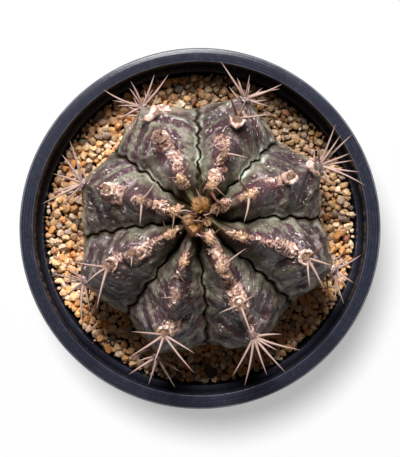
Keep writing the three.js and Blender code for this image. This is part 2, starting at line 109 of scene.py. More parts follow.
# Spines of each areole: bearing from the rib's azimuth, length seen from above, rise
SPINES = (
    (((-135, 2.9, 30), (-174, 2.7, 30)),
     ((108, 6.5, 28), (-122, 6.8, 24)),
     (),
     ((71, 4.7, 30), (47, 10.9, 4), (34, 9, 16), (22, 11.1, 2), (0, 8, 12), (-13, 8.3, 4),
      (-31, 10.1, 6), (-46, 12.4, 8), (-79, 6.8, 0))),
    (((-112, 4, 35), (61, 4.2, 30)),
     ((76, 5.2, 22), (-81, 5.8, 20)),
     ((43, 7.8, 26), (-62, 8.5, 12), (-2, 5.7, 38)),
     ((55, 10.8, 12), (43, 5.4, 20), (11, 5.6, 34), (-48, 9.6, 8), (-53, 8.8, -6), (-87, 6.3, -4))),
    (((-64, 4.6, 38), (60, 3.4, 40)),
     ((-55, 4.2, 45),),
     ((37, 10.6, 8), (48, 7.7, -4), (59, 6.2, 14), (89, 6.4, 0), (-5, 6.8, 22), (5, 5.6, 4),
      (-50, 8.5, 14), (-68, 10.2, 6), (-60, 5.2, -10))),
    (((-64, 4.8, 34), (88, 4.6, 30), (-178, 3.6, 10)),
     ((97, 6, 12), (-114, 6.9, 26)),
     ((-4, 3.9, 40),),
     ((-60, 10.9, 8), (-41, 8.8, 2), (-5, 7.6, 6), (41, 10.9, 10), (32, 8.3, -4), (59, 8.8, -6))),
    (((-100, 3.6, 40),),
     ((60, 3.2, 45),),
     ((-40, 8.8, 16), (7, 6.2, 28), (46, 10.2, 10)),
     ((-44, 8, 10), (-70, 5.8, 4), (-56, 4.3, 28), (11, 6.9, 8), (59, 10.7, 4), (72, 7.6, -4))),
    (((150, 3, 45),),
     ((-75, 3.4, 40),),
     ((-80, 7.8, 14), (-41, 9.9, 12), (-3, 7.2, 30), (77, 8.6, 14), (56, 11.6, 8)),
     ((-41, 8.5, -2), (-1, 7.3, 0), (47, 8.9, -2), (74, 6.8, 2), (-59, 5.1, 6))),
    (((115, 4.3, 32), (-121, 3.8, 34)),
     ((157, 2.2, 50), (108, 7.2, 22)),
     ((-92, 5.6, 14), (103, 4.3, 22), (-3, 7.9, 20)),
     ((-52, 10.8, 6), (-34, 11.9, 4), (-4, 9.7, 10), (19, 11.6, 6), (52, 11.6, 12), (38, 6.6, 18),
      (73, 6.8, 4), (174, 3.4, 30))),
    (((113, 2.2, 45), (-152, 2.7, 40)),
     ((62, 6.4, 26), (6, 6.8, 16), (-63, 7.2, 12), (-39, 8.4, 4)),
     ((53, 7.5, 12), (66, 5.4, 6), (-11, 5.7, 14), (-51, 8.8, 0), (-67, 7.7, 8), (-34, 5.3, 20))),
)
# The dark brown ones among the pale spines: rib, areole, spine
DARK_SPINES = ((0, 3, 0), (0, 1, 0), (1, 2, 0), (6, 1, 0), (6, 0, 0), (7, 1, 0), (3, 2, 0))
# How strong the short waves along each furrow are, and the pale mineral coating and painted highlight along
# its edges
WAVY_FURROWS = np.array([0.5, 0.6, 0.15, 0.35, 0.2, 0.25, 0.3, 0.15])
LIP_FILM = np.array([1.9, 1.4, 0.6, 0.5, 0.5, 0.5, 0.6, 0.9])
# The low areole of each rib: its share of the way from the widest level to the collar, its spines
LOW_AREOLE = 0.35
LOW_SPINES = ((-58, 6, 2), (-27, 6.4, -4), (4, 5.6, -8), (31, 6.2, -3), (60, 5.8, 3))
# How far spines start from the middle of their areole, how much of their length they bow upwards,
# and the height that their tips stay under
SPINE_SPREAD = 0.55
SPINE_BEND = 0.07
SPINE_TOP = 103.9

# Spines that cross the growing point: root and tip as x, y and z, radius, tone from 0 pale to 1 dark
CROWN_SPINES = (
    (2.8, 8.4, 101.2, 4.2, 6.1, 103.0, 0.6, 1.0), (4.0, 6.4, 102.6, 7.1, 5.5, 103.5, 0.5, 0.95),
    (-1.8, -1.6, 100.6, -4.2, 2.1, 103.3, 0.72, 0.95), (-0.8, -1.2, 100.8, 1.0, 1.7, 103.1, 0.6, 1.0),
    (0.2, 6.6, 101.0, -0.9, 9.5, 102.8, 0.30, 0.1), (-1.6, 1.8, 101.2, 1.1, 1.5, 102.2, 0.24, 0.6),
    (-5.0, 2.9, 101.4, -3.7, 1.9, 102.6, 0.30, 0.8), (1.0, 3.1, 101.4, 3.1, 4.2, 102.6, 0.24, 0.3),
    (-5.2, 3.9, 101.9, -1.6, 3.8, 103.0, 0.26, 0.15), (-0.9, -1.2, 101.2, 1.1, -2.2, 102.4, 0.26, 0.2),
    (6.0, -1.0, 101.2, 8.4, -1.1, 101.8, 0.22, 0.6),
)

# Corky scars on the crests: rib, first and last latitude, side of the crest, half width, tone
# from 0 for cream to 1 for golden brown
SCARS = (
    (0, 8, 13, 0.1, 0.8, 0.5), (0, 19, 26, -0.02, 1.5, 0.7), (0, 33, 38, 0.05, 1.6, 0.2),
    (0, 40, 44, 0.0, 0.7, 0.4),
    (1, 12, 27, 0.02, 1.6, 0.6), (1, 34, 40, 0.2, 1.5, 0.4), (1, 29, 33, 0.1, 0.9, 0.5),
    (2, 14, 20, -0.05, 1.2, 0.9), (2, 23, 33, -0.12, 0.8, 0.1), (2, 38, 45, 0.0, 1.2, 0.2),
    (2, 80, 86, -0.3, 1.5, 0.0),
    (3, 10, 22, -0.04, 1.2, 0.6), (3, 24, 31, 0.05, 1.6, 0.5), (3, 43, 50, 0.04, 1.9, 0.4),
    (4, 12, 17, 0.0, 1.4, 0.8), (4, 19, 27, 0.02, 1.9, 0.3), (4, 28, 37, 0.08, 1.5, 0.4),
    (4, 42, 46, -0.1, 1.5, 0.1),
    (5, 16, 21, 0.0, 1.2, 0.8), (5, 22, 27, -0.05, 1.3, 0.4), (5, 33, 38, 0.0, 0.8, 0.1),
    (5, 50, 53, 0.1, 2.0, 0.4),
    (6, 8, 22, 0.05, 1.7, 0.45), (6, 24, 32, -0.05, 1.1, 1.0), (6, 35, 43, 0.0, 2.0, 0.25),
    (6, 45, 58, 0.03, 0.8, 0.2),
    (7, 14, 22, 0.0, 1.6, 0.7), (7, 24, 34, 0.05, 1.2, 0.3), (7, 35, 43, 0.05, 1.6, 0.1),
)
# Raised bark collars round old areoles: rib, latitude, radius, thickness, sweep, turn, tone
COLLARS = (
    (2, 66, 2.4, 0.9, 190, 30, 0.0), (2, 42, 1.3, 0.4, 150, 60, 0.1), (0, 71, 2.1, 0.8, 240, -20, 0.0),
    (7, 49, 1.9, 0.46, 290, 10, 0.0), (4, 46, 1.8, 0.5, 190, 0, 0.0), (5, 54, 2.0, 0.5, 190, 10, 0.5),
    (3, 48, 1.6, 0.36, 280, 0, 0.2), (1, 49, 2.0, 0.5, 250, 40, 0.4), (0, 45, 1.5, 0.5, 320, 30, 0.1),
    (6, 40, 1.9, 0.36, 250, 0, 0.4), (7, 80, 1.5, 0.3, 160, 0, 0.5),
)
# Tufts of wool at the growing point: x and y from the crown, radius, tone as wool_material says,
# and the azimuth that its fibres are combed towards
WOOL = ((-0.1, 1.6, 2.0, 1.0, 115), (-2.9, -1.7, 1.25, 0.8, 170), (1.4, -2.2, 0.85, 0.8, 300),
        (-1.5, -3.8, 1.5, 0.95, 260), (3.7, 1.0, 1.3, 0.2, 10))
# The low near-black felt between the tufts, brown felt and painted shade of the hollows there: x and y from
# the crown, radius
FELT_BED = ((-0.4, -0.8, 2.7), (1.2, 2.6, 1.6))
WOOL_LEVEL = 99.9
TUFT_FIBRES = 520


# ---- Settings that a user would change ------------------------------------------------------------

def length_setting(name, description, default):
    """A length in metres from a size in millimetres."""
    return FloatProperty(name=name, description=description, default=default * MM, unit="LENGTH")


def colour_setting(name, description, default):
    """A linear colour."""
    return FloatVectorProperty(name=name, description=description, default=default, size=3,
                               subtype="COLOR", min=0.0, max=1.0)


def number_setting(name, description, default, unit="NONE"):
    """A number, or a power in watts if its unit says so."""
    return FloatProperty(name=name, description=description, default=default, unit=unit)


class CactusPlantSettings(bpy.types.PropertyGroup):
    """Skin, spines and wool of the plant."""

    band_pitch: length_setting("Band pitch", "Distance between two mauve bands of the skin", 4.8)
    ripple: length_setting("Ripple", "Height of the cross folds that the bands follow", 0.26)
    spine_radius: length_setting("Spine radius", "Radius of a spine just above its root", 0.4)
    skin_green: colour_setting("Skin green", "Pale bands of the skin", (0.246, 0.230, 0.163))
    skin_mauve: colour_setting("Skin mauve", "Dark bands of the skin", (0.066, 0.0225, 0.034))
    skin_young: colour_setting(
        "Young skin", "Skin near the crown and deep in the furrows", (0.112, 0.101, 0.060))
    spine_pale: colour_setting("Pale spine", "Horn colour of most spines", (0.40, 0.275, 0.235))
    spine_dark: colour_setting("Dark spine", "Young and central spines", (0.085, 0.026, 0.008))
    cork: colour_setting("Cork", "Old scars on the crests", (0.47, 0.29, 0.225))
    wool: colour_setting("Wool", "Felt of the crown and the young areoles", (0.76, 0.38, 0.09))


class CactusPotSettings(bpy.types.PropertyGroup):
    """Mould and plastic of the pot."""

    wall: length_setting("Wall", "Thickness of the pot's wall", 1.4)
    segments: IntProperty(name="Segments", description="Steps round the pot", default=256, min=32)
    plastic: colour_setting("Plastic", "Charcoal plastic", (0.0135, 0.0150, 0.0250))
    worn: colour_setting("Worn plastic", "Plastic where edges are rubbed", (0.150, 0.155, 0.185))


class CactusGravelSettings(bpy.types.PropertyGroup):
    """Grains of the gravel dressing."""

    level: length_setting("Level", "Height of the top grains' centres above the base", 68.3)
    largest: length_setting("Largest grain", "Radius of the largest grains", 1.12)
    smallest: length_setting("Smallest grain", "Radius of the smallest grains", 0.42)
    tries: IntProperty(name="Tries", description="Places tried for the top grains", default=22000, min=100)


class CactusStageSettings(bpy.types.PropertyGroup):
    """Light and camera."""

    camera_height: length_setting("Camera height", "Distance of the camera above the rim", 500.0)
    key_power: number_setting("Key light", "Power of the key light", 21.0, "POWER")
    side_power: number_setting("Side light", "Power of the low light on the near side", 1.0, "POWER")
    floor_power: number_setting("Floor light", "Power of the light on the floor", 6.2, "POWER")
    fill: number_setting("Fill", "Strength of the light all round", 0.08)
    glow: number_setting("Glow", "Light that the floor itself gives", 0.395)
    floor: colour_setting("Floor", "Pale floor", (0.86, 0.86, 0.87))


# ---- Arithmetic -----------------------------------------------------------------------------------

def mix(a, b, t):
    """a where t is 0, b where t is 1, and a straight line between them."""
    return a + (b - a) * t


def smooth(a, b, x):
    """0 below a, 1 above b, and the cubic 3t squared minus 2t cubed between them."""
    t = np.clip((np.asarray(x, float) - a) / (b - a), 0, 1)
    return t * t * (3 - 2 * t)


def lattice(i, j, k, seed):
    """A repeatable random number from -1 to 1 for each whole-number place i, j, k."""
    h = (i * 73856093) ^ (j * 19349663) ^ (k * 83492791) ^ (seed * 2654435761)
    h = (h ^ (h >> 13)) * 1274126177
    h = h ^ (h >> 16)
    return (h & 0xFFFF) / 32767.5 - 1


def lumps(points, size, seed):
    """Value noise: random heights at the corners of cubes of the given size, blended smoothly
    between them, from -1 to 1."""
    place = np.asarray(points, float) / size
    corner = np.floor(place).astype(np.int64)
    part = place - corner
    part = part * part * (3 - 2 * part)
    total = np.zeros(len(place))
    for step in np.ndindex(2, 2, 2):
        weight = np.prod(np.where(step, part, 1 - part), axis=1)
        total += weight * lattice(*(corner + step).T, seed)
    return total


def roughness(points, size, seed, octaves=3):
    """Lumps of the size, half of it, a quarter of it and so on, each half as high as the last."""
    return sum(lumps(points, size / 2 ** n, seed + n) / 2 ** n for n in range(octaves))


def unit(vectors):
    """Vectors divided by their lengths."""
    return vectors / np.maximum(np.linalg.norm(vectors, axis=-1, keepdims=True), 1e-12)


def polar(radius, azimuth, z):
    """Points at a radius, an azimuth in radians, and a height."""
    return np.stack(np.broadcast_arrays(radius * np.cos(azimuth), radius * np.sin(azimuth), z), -1)


def heading(azimuth, rise):
    """The unit vector at an azimuth and a rise above the horizontal, in degrees."""
    rise = np.radians(rise)
    return polar(np.cos(rise), np.radians(azimuth), np.sin(rise))


def circle(count):
    """Equal steps round a circle, in radians."""
    return np.arange(count) * 2 * np.pi / count


def square_to(axis, vectors):
    """Unit vectors along what is left of the vectors without their parts along the unit axis."""
    return unit(vectors - axis * (vectors * axis).sum(-1, keepdims=True))


def upper_side(along):
    """Unit vectors at right angles to these that point up as much as they can."""
    return unit(np.cross(along, np.cross(np.array([0, 0, 1.0]), along)))


# ---- Meshes ---------------------------------------------------------------------------------------

def closed_grid(rings):
    """Faces of a stack of rings, rows by columns, closed by a fan to a point at each end. The two
    points follow the rings in the list of points: the one before the first ring, then the last."""
    rows, columns = rings
    around = np.arange(columns)
    after = (around + 1) % columns
    row = np.arange(rows - 1)[:, None] * columns
    quads = np.stack([row + around, row + after, row + columns + after, row + columns + around], -1)
    first, last = rows * columns, rows * columns + 1
    end = (rows - 1) * columns
    fan_a = np.stack([np.full(columns, first), after, around], -1)
    fan_b = np.stack([np.full(columns, last), end + around, end + after], -1)
    return [quads.reshape(-1, 4), np.concatenate([fan_a, fan_b])]


def copies(template, points):
    """The points of many copies of one template in one list, and the faces of all of them. points
    is copies by template points by 3."""
    count, size = points.shape[:2]
    offset = np.arange(count)[:, None, None] * size
    return points.reshape(-1, 3), [(f[None] + offset).reshape(-1, f.shape[1]) for f in template]


def outward(points, faces):
    """The faces turned so that the volume that they close, the sum of each fan triangle's corners'
    triple product, is positive."""
    volume = sum(
        np.einsum("ij,ij->", points[f[:, 0]], np.cross(points[f[:, k]], points[f[:, k + 1]]))
        for f in faces for k in range(1, f.shape[1] - 1))
    return faces if volume > 0 else [f[:, ::-1] for f in faces]


def add_piece(name, points, faces, material, slot, replaces=(), smooth_shaded=True, **attributes):
    """An object at the origin from points in millimetres, faces as arrays of three or four corners,
    and attributes. An attribute has a number or a colour for each point, or else for each equal run
    of the points."""
    faces = outward(points, faces)
    mesh = bpy.data.meshes.new(name)
    mesh.vertices.add(len(points))
    mesh.vertices.foreach_set("co", (points * MM).astype(np.float32).ravel())
    mesh.loops.add(sum(f.size for f in faces))
    mesh.loops.foreach_set("vertex_index", np.concatenate([f.ravel() for f in faces]).astype(np.int32))
    sizes = np.concatenate([np.full(len(f), f.shape[1]) for f in faces])
    mesh.polygons.add(len(sizes))
    mesh.polygons.foreach_set("loop_start", (np.cumsum(sizes) - sizes).astype(np.int32))
    mesh.update(calc_edges=True)
    mesh.validate()
    mesh.polygons.foreach_set("use_smooth", np.full(len(mesh.polygons), smooth_shaded))
    for key, values in attributes.items():
        values = np.repeat(np.asarray(values, np.float32), len(points) // len(values), 0)
        kind, field = ("FLOAT", "value") if values.ndim == 1 else ("FLOAT_COLOR", "color")
        if values.ndim == 2:
            values = np.concatenate([values, np.ones((len(values), 1), np.float32)], 1)
        mesh.attributes.new(key, kind, "POINT").data.foreach_set(field, values.ravel())
    piece = bpy.data.objects.new(name, mesh)
    bpy.context.scene.collection.objects.link(piece)
    mesh.materials.append(material)
    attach(piece, "root")
    if replaces:
        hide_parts(*replaces)
    return piece


def ball(detail):
    """Points and triangles of a unit ball: an octahedron whose faces are split in four detail
    times, with each new point pushed out to the ball."""
    points = [(1, 0, 0), (-1, 0, 0), (0, 1, 0), (0, -1, 0), (0, 0, 1), (0, 0, -1)]
    faces = [(0, 2, 4), (2, 1, 4), (1, 3, 4), (3, 0, 4), (2, 0, 5), (1, 2, 5), (3, 1, 5), (0, 3, 5)]
    for _ in range(detail):
        middles = {}

        def middle(a, b):
            key = (min(a, b), max(a, b))
            if key not in middles:
                middles[key] = len(points)
                points.append(tuple((np.array(points[a]) + np.array(points[b])) / 2))
            return middles[key]

        split = []
        for a, b, c in faces:
            ab, bc, ca = middle(a, b), middle(b, c), middle(c, a)
            split += [(a, ab, ca), (ab, b, bc), (ca, bc, c), (ab, bc, ca)]
        faces = split
    return unit(np.array(points, float)), np.array(faces)


def turns(rng, count):
    """Random rotations: the matrices of random unit quaternions."""
    w, x, y, z = unit(rng.normal(size=(count, 4))).T
    return np.stack([
        np.stack([1 - 2 * (y * y + z * z), 2 * (x * y - z * w), 2 * (x * z + y * w)], -1),
        np.stack([2 * (x * y + z * w), 1 - 2 * (x * x + z * z), 2 * (y * z - x * w)], -1),
        np.stack([2 * (x * z - y * w), 2 * (y * z + x * w), 1 - 2 * (x * x + y * y)], -1)], 1)


def chips(rng, detail, sizes, cuts, reach):
    """Broken stones about the origin: balls made boxy by dividing each point by a power of its
    largest coordinate, cut by random planes at the given reaches, and stretched to their sizes."""
    base, faces = ball(detail)
    base = base / np.abs(base).max(1, keepdims=True) ** 0.5
    points = np.repeat(base[None], len(sizes), 0)
    for _ in range(cuts):
        normal = unit(rng.normal(size=(len(sizes), 3)))
        over = np.einsum("nij,nj->ni", points, normal) - rng.uniform(*reach, (len(sizes), 1))
        points = points - np.maximum(over, 0)[..., None] * normal[:, None]
    points = points / np.abs(points).max(1, keepdims=True)
    return points * sizes[:, None], faces


def stones(rng, detail, centres, radii, cuts=8, reach=(0.55, 0.85)):
    """Chips of a stone's proportions, each turned at random and moved to its centre."""
    count = len(centres)
    sizes = np.stack([np.ones(count), rng.uniform(0.72, 1, count), rng.uniform(0.62, 0.9, count)], -1)
    points, faces = chips(rng, detail, sizes * radii[:, None], cuts, reach)
    points = np.einsum("nij,nkj->nki", turns(rng, count), points)
    return copies([faces], points + centres[:, None])


def plates(rng, centres, axes, radii, thickness, tilt):
    """Thin chips that lie on a surface, each spun about the surface's normal and tilted a little."""
    count = len(centres)
    sizes = np.stack([radii, radii * rng.uniform(0.45, 0.9, count), radii * thickness], -1)
    points, faces = chips(rng, 1, sizes, 7, (0.5, 0.85))
    normal = unit(axes[:, 2] + rng.normal(0, tilt, (count, 3)))
    spin = rng.uniform(0, 2 * np.pi, (count, 1))
    first = square_to(normal, np.cos(spin) * axes[:, 0] + np.sin(spin) * axes[:, 1])
    own_axes = np.stack([first, np.cross(normal, first), normal], 1)
    return copies([faces], np.einsum("nki,nij->nkj", points, own_axes) + centres[:, None])


# ---- The plant's form -----------------------------------------------------------------------------
# A place on the skin is a rib, a side and a latitude. The side runs from -1 at the furrow before the
# rib, through 0 on its crest, to 1 at the furrow after it. The latitude is 0 at the growing point,
# 90 at the widest level and 180 at the collar.

def furrow_beside(rib, side):
    """The furrow on this side of a rib. A rib's own furrow is the one after it."""
    return np.where(side < 0, (rib - 1) % RIB_COUNT, rib)


def half_width(rib, latitude, least=0):
    """Half of a rib's width in millimetres, at no less than the least distance from the crown."""
    out = np.maximum(RIBS[rib, 2] * np.sin(np.radians(np.minimum(latitude, 90))), least)
    return out * np.pi / RIB_COUNT


def across_rib(rib, side, out):
    """Azimuth in radians, reach of the envelope, depth of the furrow at the shoulder, and share of
    the way from crest to furrow. out is the sine of the latitude."""
    furrow = furrow_beside(rib, side)
    neighbour = np.where(side < 0, furrow, (rib + 1) % RIB_COUNT)
    share = np.abs(side)
    settle = smooth(0.1, 0.6, out)
    crest = mix(RIBS[rib, 1], RIBS[rib, 0], settle)
    valley = mix(RIBS[furrow, 4], RIBS[furrow, 3], settle) - 360 * ((side < 0) & (rib == 0))
    envelope = (RIBS[rib, 2] + RIBS[neighbour, 2]) / 2
    reach = mix(RIBS[rib, 2], envelope, share)
    return np.radians(mix(crest, valley, share)), reach, envelope - RIBS[furrow, 5], share


def furrow_shape(share, out):
    """0 on the crest and 1 in the furrow: a rounded power curve, steeper beside the crest at the
    widest level, that levels out at a lip before the skin drops into the cleft. Near the crown the
    cleft is wide."""
    power, bend = mix(1.45, 0.45, out ** 2), mix(0.14, 0.05, out ** 2)
    level = mix(share, LIP_SHARE, smooth(0.76, 1, share))

    def rise(x):
        return (x * x + bend * bend) ** (power / 2) - bend ** power

    drop = mix(0.31, 0.14, out ** 2)
    lip = mix(0.6, 0.96, smooth(0.12, 0.5, out))
    return (1 - drop) * rise(level) / rise(LIP_SHARE) + drop * smooth(lip, 1, share)


def chins(rib, share, latitude):
    """The crest swells below each areole and dips above it, both as bell curves of latitude. It
    does so less towards the widest level."""
    table = np.array([row + (-999,) * (4 - len(row)) for row in AREOLES], float)[rib]
    below = np.exp(-(((latitude[..., None] - table - 2) / 5.2) ** 2))
    above = np.exp(-(((latitude[..., None] - table + 7.5) / 4.2) ** 2))
    size = 1 - smooth(50, 80, table)
    return CHIN_HEIGHT * np.maximum(1 - share, 0) ** 1.3 * (size * (below - above)).sum(-1)


LATITUDE_STEPS = np.linspace(0, 90, 361)
MEAN_REACH = RIBS[:, 2].mean()
STEP_LENGTHS = np.radians(LATITUDE_STEPS[1]) * np.hypot(
    MEAN_REACH * np.cos(np.radians(LATITUDE_STEPS[1:])),
    DOME_HEIGHT * np.sin(np.radians(LATITUDE_STEPS[1:])))
ARC_STEPS = np.concatenate([[0], np.cumsum(STEP_LENGTHS)])


def arc_length(latitude):
    """Distance over the skin from the crown, along a quarter ellipse of the mean reach."""
    return np.interp(latitude, LATITUDE_STEPS, ARC_STEPS)


def sway(rib, side, arc):
    """How far a furrow wanders from its own line, in millimetres: sine waves of three lengths along
    it, the same on both of its flanks and fading out towards the crests. The shortest wave has a
    strength of its own in each furrow."""
    furrow = furrow_beside(rib, side)
    turn = 2 * np.pi * arc
    wave = np.sin(turn / 5.3 + furrow * 2.1) + 0.8 * np.sin(turn / 9.1 + furrow * 4.7)
    wave = wave + WAVY_FURROWS[furrow] * np.sin(turn / 2.6 + furrow + 1.2 * np.sin(turn / 7.7))
    return 0.29 * wave * smooth(0.45, 1, np.abs(side)) * smooth(5, 12, arc)


def dome_point(rib, side, latitude, lift=0.0):
    """A point of the skin above the widest level. The crest follows a quarter ellipse from the
    crown to the rib's reach; furrows are drawn in, and chins and lift pushed out, along that
    ellipse's normal."""
    latitude = np.asarray(latitude, float)
    out, up = np.sin(np.radians(latitude)), np.cos(np.radians(latitude))
    azimuth, reach, shoulder_depth, share = across_rib(rib, side, out)
    depth = mix(FURROW_DEPTH, shoulder_depth, smooth(0.7, 1, out)) * smooth(0, 0.38, out)
    push = chins(rib, share, latitude) + lift - depth * furrow_shape(share, out)
    slope = np.hypot(out / reach, up / DOME_HEIGHT)
    radius = reach * out + push * out / reach / slope
    z = EQUATOR_Z + DOME_HEIGHT * up + push * up / DOME_HEIGHT / slope
    z = z - CROWN_DIP * np.exp(-((reach * out / CROWN_DIP_RADIUS) ** 2))
    azimuth = azimuth + sway(rib, side, arc_length(latitude)) / np.maximum(radius, 3)
    return np.stack([CROWN[0] + radius * np.cos(azimuth), CROWN[1] + radius * np.sin(azimuth), z], -1)


def underside_point(rib, side, down, lift=0.0):
    """A point of the skin below the widest level, drawn in from the outline to the round collar by
    one minus the cosine of a quarter turn."""
    outline = dome_point(rib, side, np.full(np.shape(down), 90.0), lift)
    azimuth = across_rib(rib, side, np.ones(np.shape(down)))[0]
    turn = np.radians(down * 90)
    inward = (1 - np.cos(turn) ** 0.9)[..., None]
    outline[..., 2] = EQUATOR_Z - (EQUATOR_Z - COLLAR_Z) * np.sin(turn)
    return mix(outline, polar(COLLAR_RADIUS, azimuth, outline[..., 2]), inward)


def skin_point(rib, side, latitude, lift=0.0):
    """A point of the skin above or below the widest level, which is at latitude 90."""
    dome = dome_point(rib, side, np.minimum(latitude, 90), lift)
    under = underside_point(rib, side, np.clip((latitude - 90) / 90, 0, 1), lift)
    return np.where((latitude > 90)[:, None], under, dome)


def seats(rib, side, latitude, lift=0.0):
    """Places on the skin, and the three axes of each: down the rib, across it, out of the skin."""
    down = unit(skin_point(rib, side, latitude + 1.5) - skin_point(rib, side, latitude - 1.5))
    across = skin_point(rib, side + 0.05, latitude) - skin_point(rib, side - 0.05, latitude)
    across = square_to(down, across)
    return skin_point(rib, side, latitude, lift), np.stack([down, across, np.cross(down, across)], 1)


def seat(rib, latitude):
    """One place on a crest and its three axes."""
    centre, axes = seats(np.array([rib]), np.zeros(1), np.array([float(latitude)]))
    return centre[0], axes[0]


def every_areole():
    """Each areole in turn as (rib, index, latitude, spines). The last of each rib is low on its
    underside, at a latitude past 90."""
    for rib in range(RIB_COUNT):
        for index, latitude in enumerate(AREOLES[rib]):
            yield rib, index, latitude, SPINES[rib][index]
        yield rib, len(AREOLES[rib]), 90 + 90 * LOW_AREOLE, LOW_SPINES


def scar_at(rib, side, latitude, points):
    """How much scar there is at each place, from 0 to 1, and its tone. A scar is a strip along the
    crest with a ragged edge: its distance is measured in millimetres and roughened by noise."""
    arc = arc_length(np.minimum(latitude, 90))
    width = half_width(rib, latitude, least=2)
    edge = roughness(points, 1.7, 11, 4) * 1.05
    amount, tone = np.zeros(len(points)), np.zeros(len(points))
    for which, first, last, centre, half, shade in SCARS:
        along = np.maximum(np.maximum(arc_length(first) - arc, arc - arc_length(last)), 0)
        away = np.abs(side - centre) * width
        distance = np.hypot(along, np.maximum(away - half * 0.45, 0)) + edge
        here = (1 - smooth(half * 0.25, half * 0.25 + 0.5, distance)) * (rib == which)
        tone = np.where(here > amount, shade, tone)
        amount = np.maximum(amount, here)
    return amount, tone


# ---- Shader helpers -------------------------------------------------------------------------------

class Value:
    """One output of a shader node. Each sign of arithmetic between it and a number or another value
    makes a math node."""

    def __init__(self, graph, socket):
        self.graph = graph
        self.socket = socket

    def __add__(self, other):
        return self.graph.math("ADD", self, other)

    def __sub__(self, other):
        return self.graph.math("SUBTRACT", self, other)

    def __rsub__(self, other):
        return self.graph.math("SUBTRACT", other, self)

    def __mul__(self, other):
        return self.graph.math("MULTIPLY", self, other)

    def __truediv__(self, other):
        return self.graph.math("DIVIDE", self, other)


class Graph:
    """Adds nodes to one shader tree. What they take may be numbers, colours or values."""

    def __init__(self, tree):
        self.tree = tree

    def add(self, kind, inputs=(), **settings):
        """A node with its settings made and its inputs set, or linked where they are values."""
        node = self.tree.nodes.new(kind)
        for key, value in settings.items():
            setattr(node, key, value)
        for key, value in dict(inputs).items():
            if isinstance(value, Value):
                self.tree.links.new(value.socket, node.inputs[key])
            else:
                node.inputs[key].default_value = value
        return node

    def value(self, output, kind, inputs=(), **settings):
        """One output, by its name or number, of a new node."""
        return Value(self, self.add(kind, inputs, **settings).outputs[output])

    def math(self, operation, a, b=0.0):
        return self.value(0, "ShaderNodeMath", {0: a, 1: b}, operation=operation)

    def ramp(self, value, low, high, start=0.0, end=1.0):
        """start below low, end above high, and a smooth step between them."""
        inputs = {0: value, 1: low, 2: high, 3: start, 4: end}
        return self.value(0, "ShaderNodeMapRange", inputs, interpolation_type="SMOOTHSTEP")

    def blend(self, mask, a, b):
        """a where the mask is 0, b where it is 1, and mixed between them."""
        a, b = ((*colour, 1.0) if isinstance(colour, tuple) else colour for colour in (a, b))
        return self.value(2, "ShaderNodeMix", {0: mask, 6: a, 7: b}, data_type="RGBA")

    def paint(self, colour, **coats):
        """The colour under named coats, each a mask and a colour of its own, the last on top."""
        for mask, coat in coats.values():
            colour = self.blend(mask, colour, coat)
        return colour

    def noise(self, place, scale, detail=3.0, distortion=0.0):
        inputs = {"Vector": place, "Scale": scale, "Detail": detail, "Distortion": distortion}
        return self.value("Fac", "ShaderNodeTexNoise", inputs)

    def patches(self, place, scale, low, high, most=1.0, detail=3.0, distortion=0.0):
        """Noise made into patches: 0 where it is under low, and most where it is over high."""
        return self.ramp(self.noise(place, scale, detail, distortion), low, high, 0.0, most)

    def place(self):
        return self.value("Object", "ShaderNodeTexCoord")

    def stretched(self, place, scale):
        return self.value(0, "ShaderNodeMapping", {"Vector": place, "Scale": scale})

    def attribute(self, name, output="Fac"):
        return self.value(output, "ShaderNodeAttribute", attribute_name=name)

    def attributes(self, *names):
        return [self.attribute(name) for name in names]

    def bump(self, height, distance, strength):
        inputs = {"Height": height, "Distance": distance, "Strength": strength}
        return self.value(0, "ShaderNodeBump", inputs)

    def group(self, name, build, place, **numbers):
        """A node of the group of this name, which build makes from its inputs the first time."""
        tree = bpy.data.node_groups.get(name) or new_group(name, build, numbers)
        return self.value(0, "ShaderNodeGroup", {"Place": place, **numbers}, node_tree=tree)


def new_group(name, build, numbers):
    """A node group whose inputs are a place and these numbers, and whose one output build makes."""
    tree = bpy.data.node_groups.new(name, "ShaderNodeTree")
    tree.interface.new_socket(name="Place", in_out="INPUT", socket_type="NodeSocketVector")
    for label, default in numbers.items():
        socket = tree.interface.new_socket(name=label, in_out="INPUT", socket_type="NodeSocketFloat")
        socket.default_value = default
    tree.interface.new_socket(name="Value", in_out="OUTPUT", socket_type="NodeSocketFloat")
    graph = Graph(tree)
    entry = graph.add("NodeGroupInput").outputs
    inputs = [Value(graph, entry[key]) for key in ("Place", *numbers)]
    graph.add("NodeGroupOutput", {0: build(graph, *inputs)})
    return tree


def flecks(graph, place, scale, cover, softness):
    """Ragged flecks: noise above a threshold, the lower the threshold the more they cover."""
    def build(graph, place, scale, cover, softness):
        low = 0.8 - cover
        return graph.ramp(graph.noise(place, scale, 4.0, 0.4), low, low + softness)
    return graph.group("Flecks", build, place, Scale=scale, Cover=cover, Softness=softness)


def mottle(graph, place, scale):
    """Soft patches from 0 to 1: two sizes of noise added and stretched to the full range."""
    def build(graph, place, scale):
        both = graph.noise(place, scale, 2.0) * 0.65 + graph.noise(place, scale * 4.3, 3.0) * 0.35
        return graph.ramp(both, 0.36, 0.64)
    return graph.group("Mottle", build, place, Scale=scale)


def dust(graph, place, amount):
    """Dust that settles on what faces up: noise times the upward part of the normal."""
    def build(graph, place, amount):
        normal = graph.value("Normal", "ShaderNodeNewGeometry")
        upward = graph.ramp(graph.value("Z", "ShaderNodeSeparateXYZ", {0: normal}), 0.2, 0.9)
        return graph.patches(place, 900.0, 0.45, 0.75, 1.0, 6.0, 0.3) * upward * amount
    return graph.group("Dust", build, place, Amount=amount)


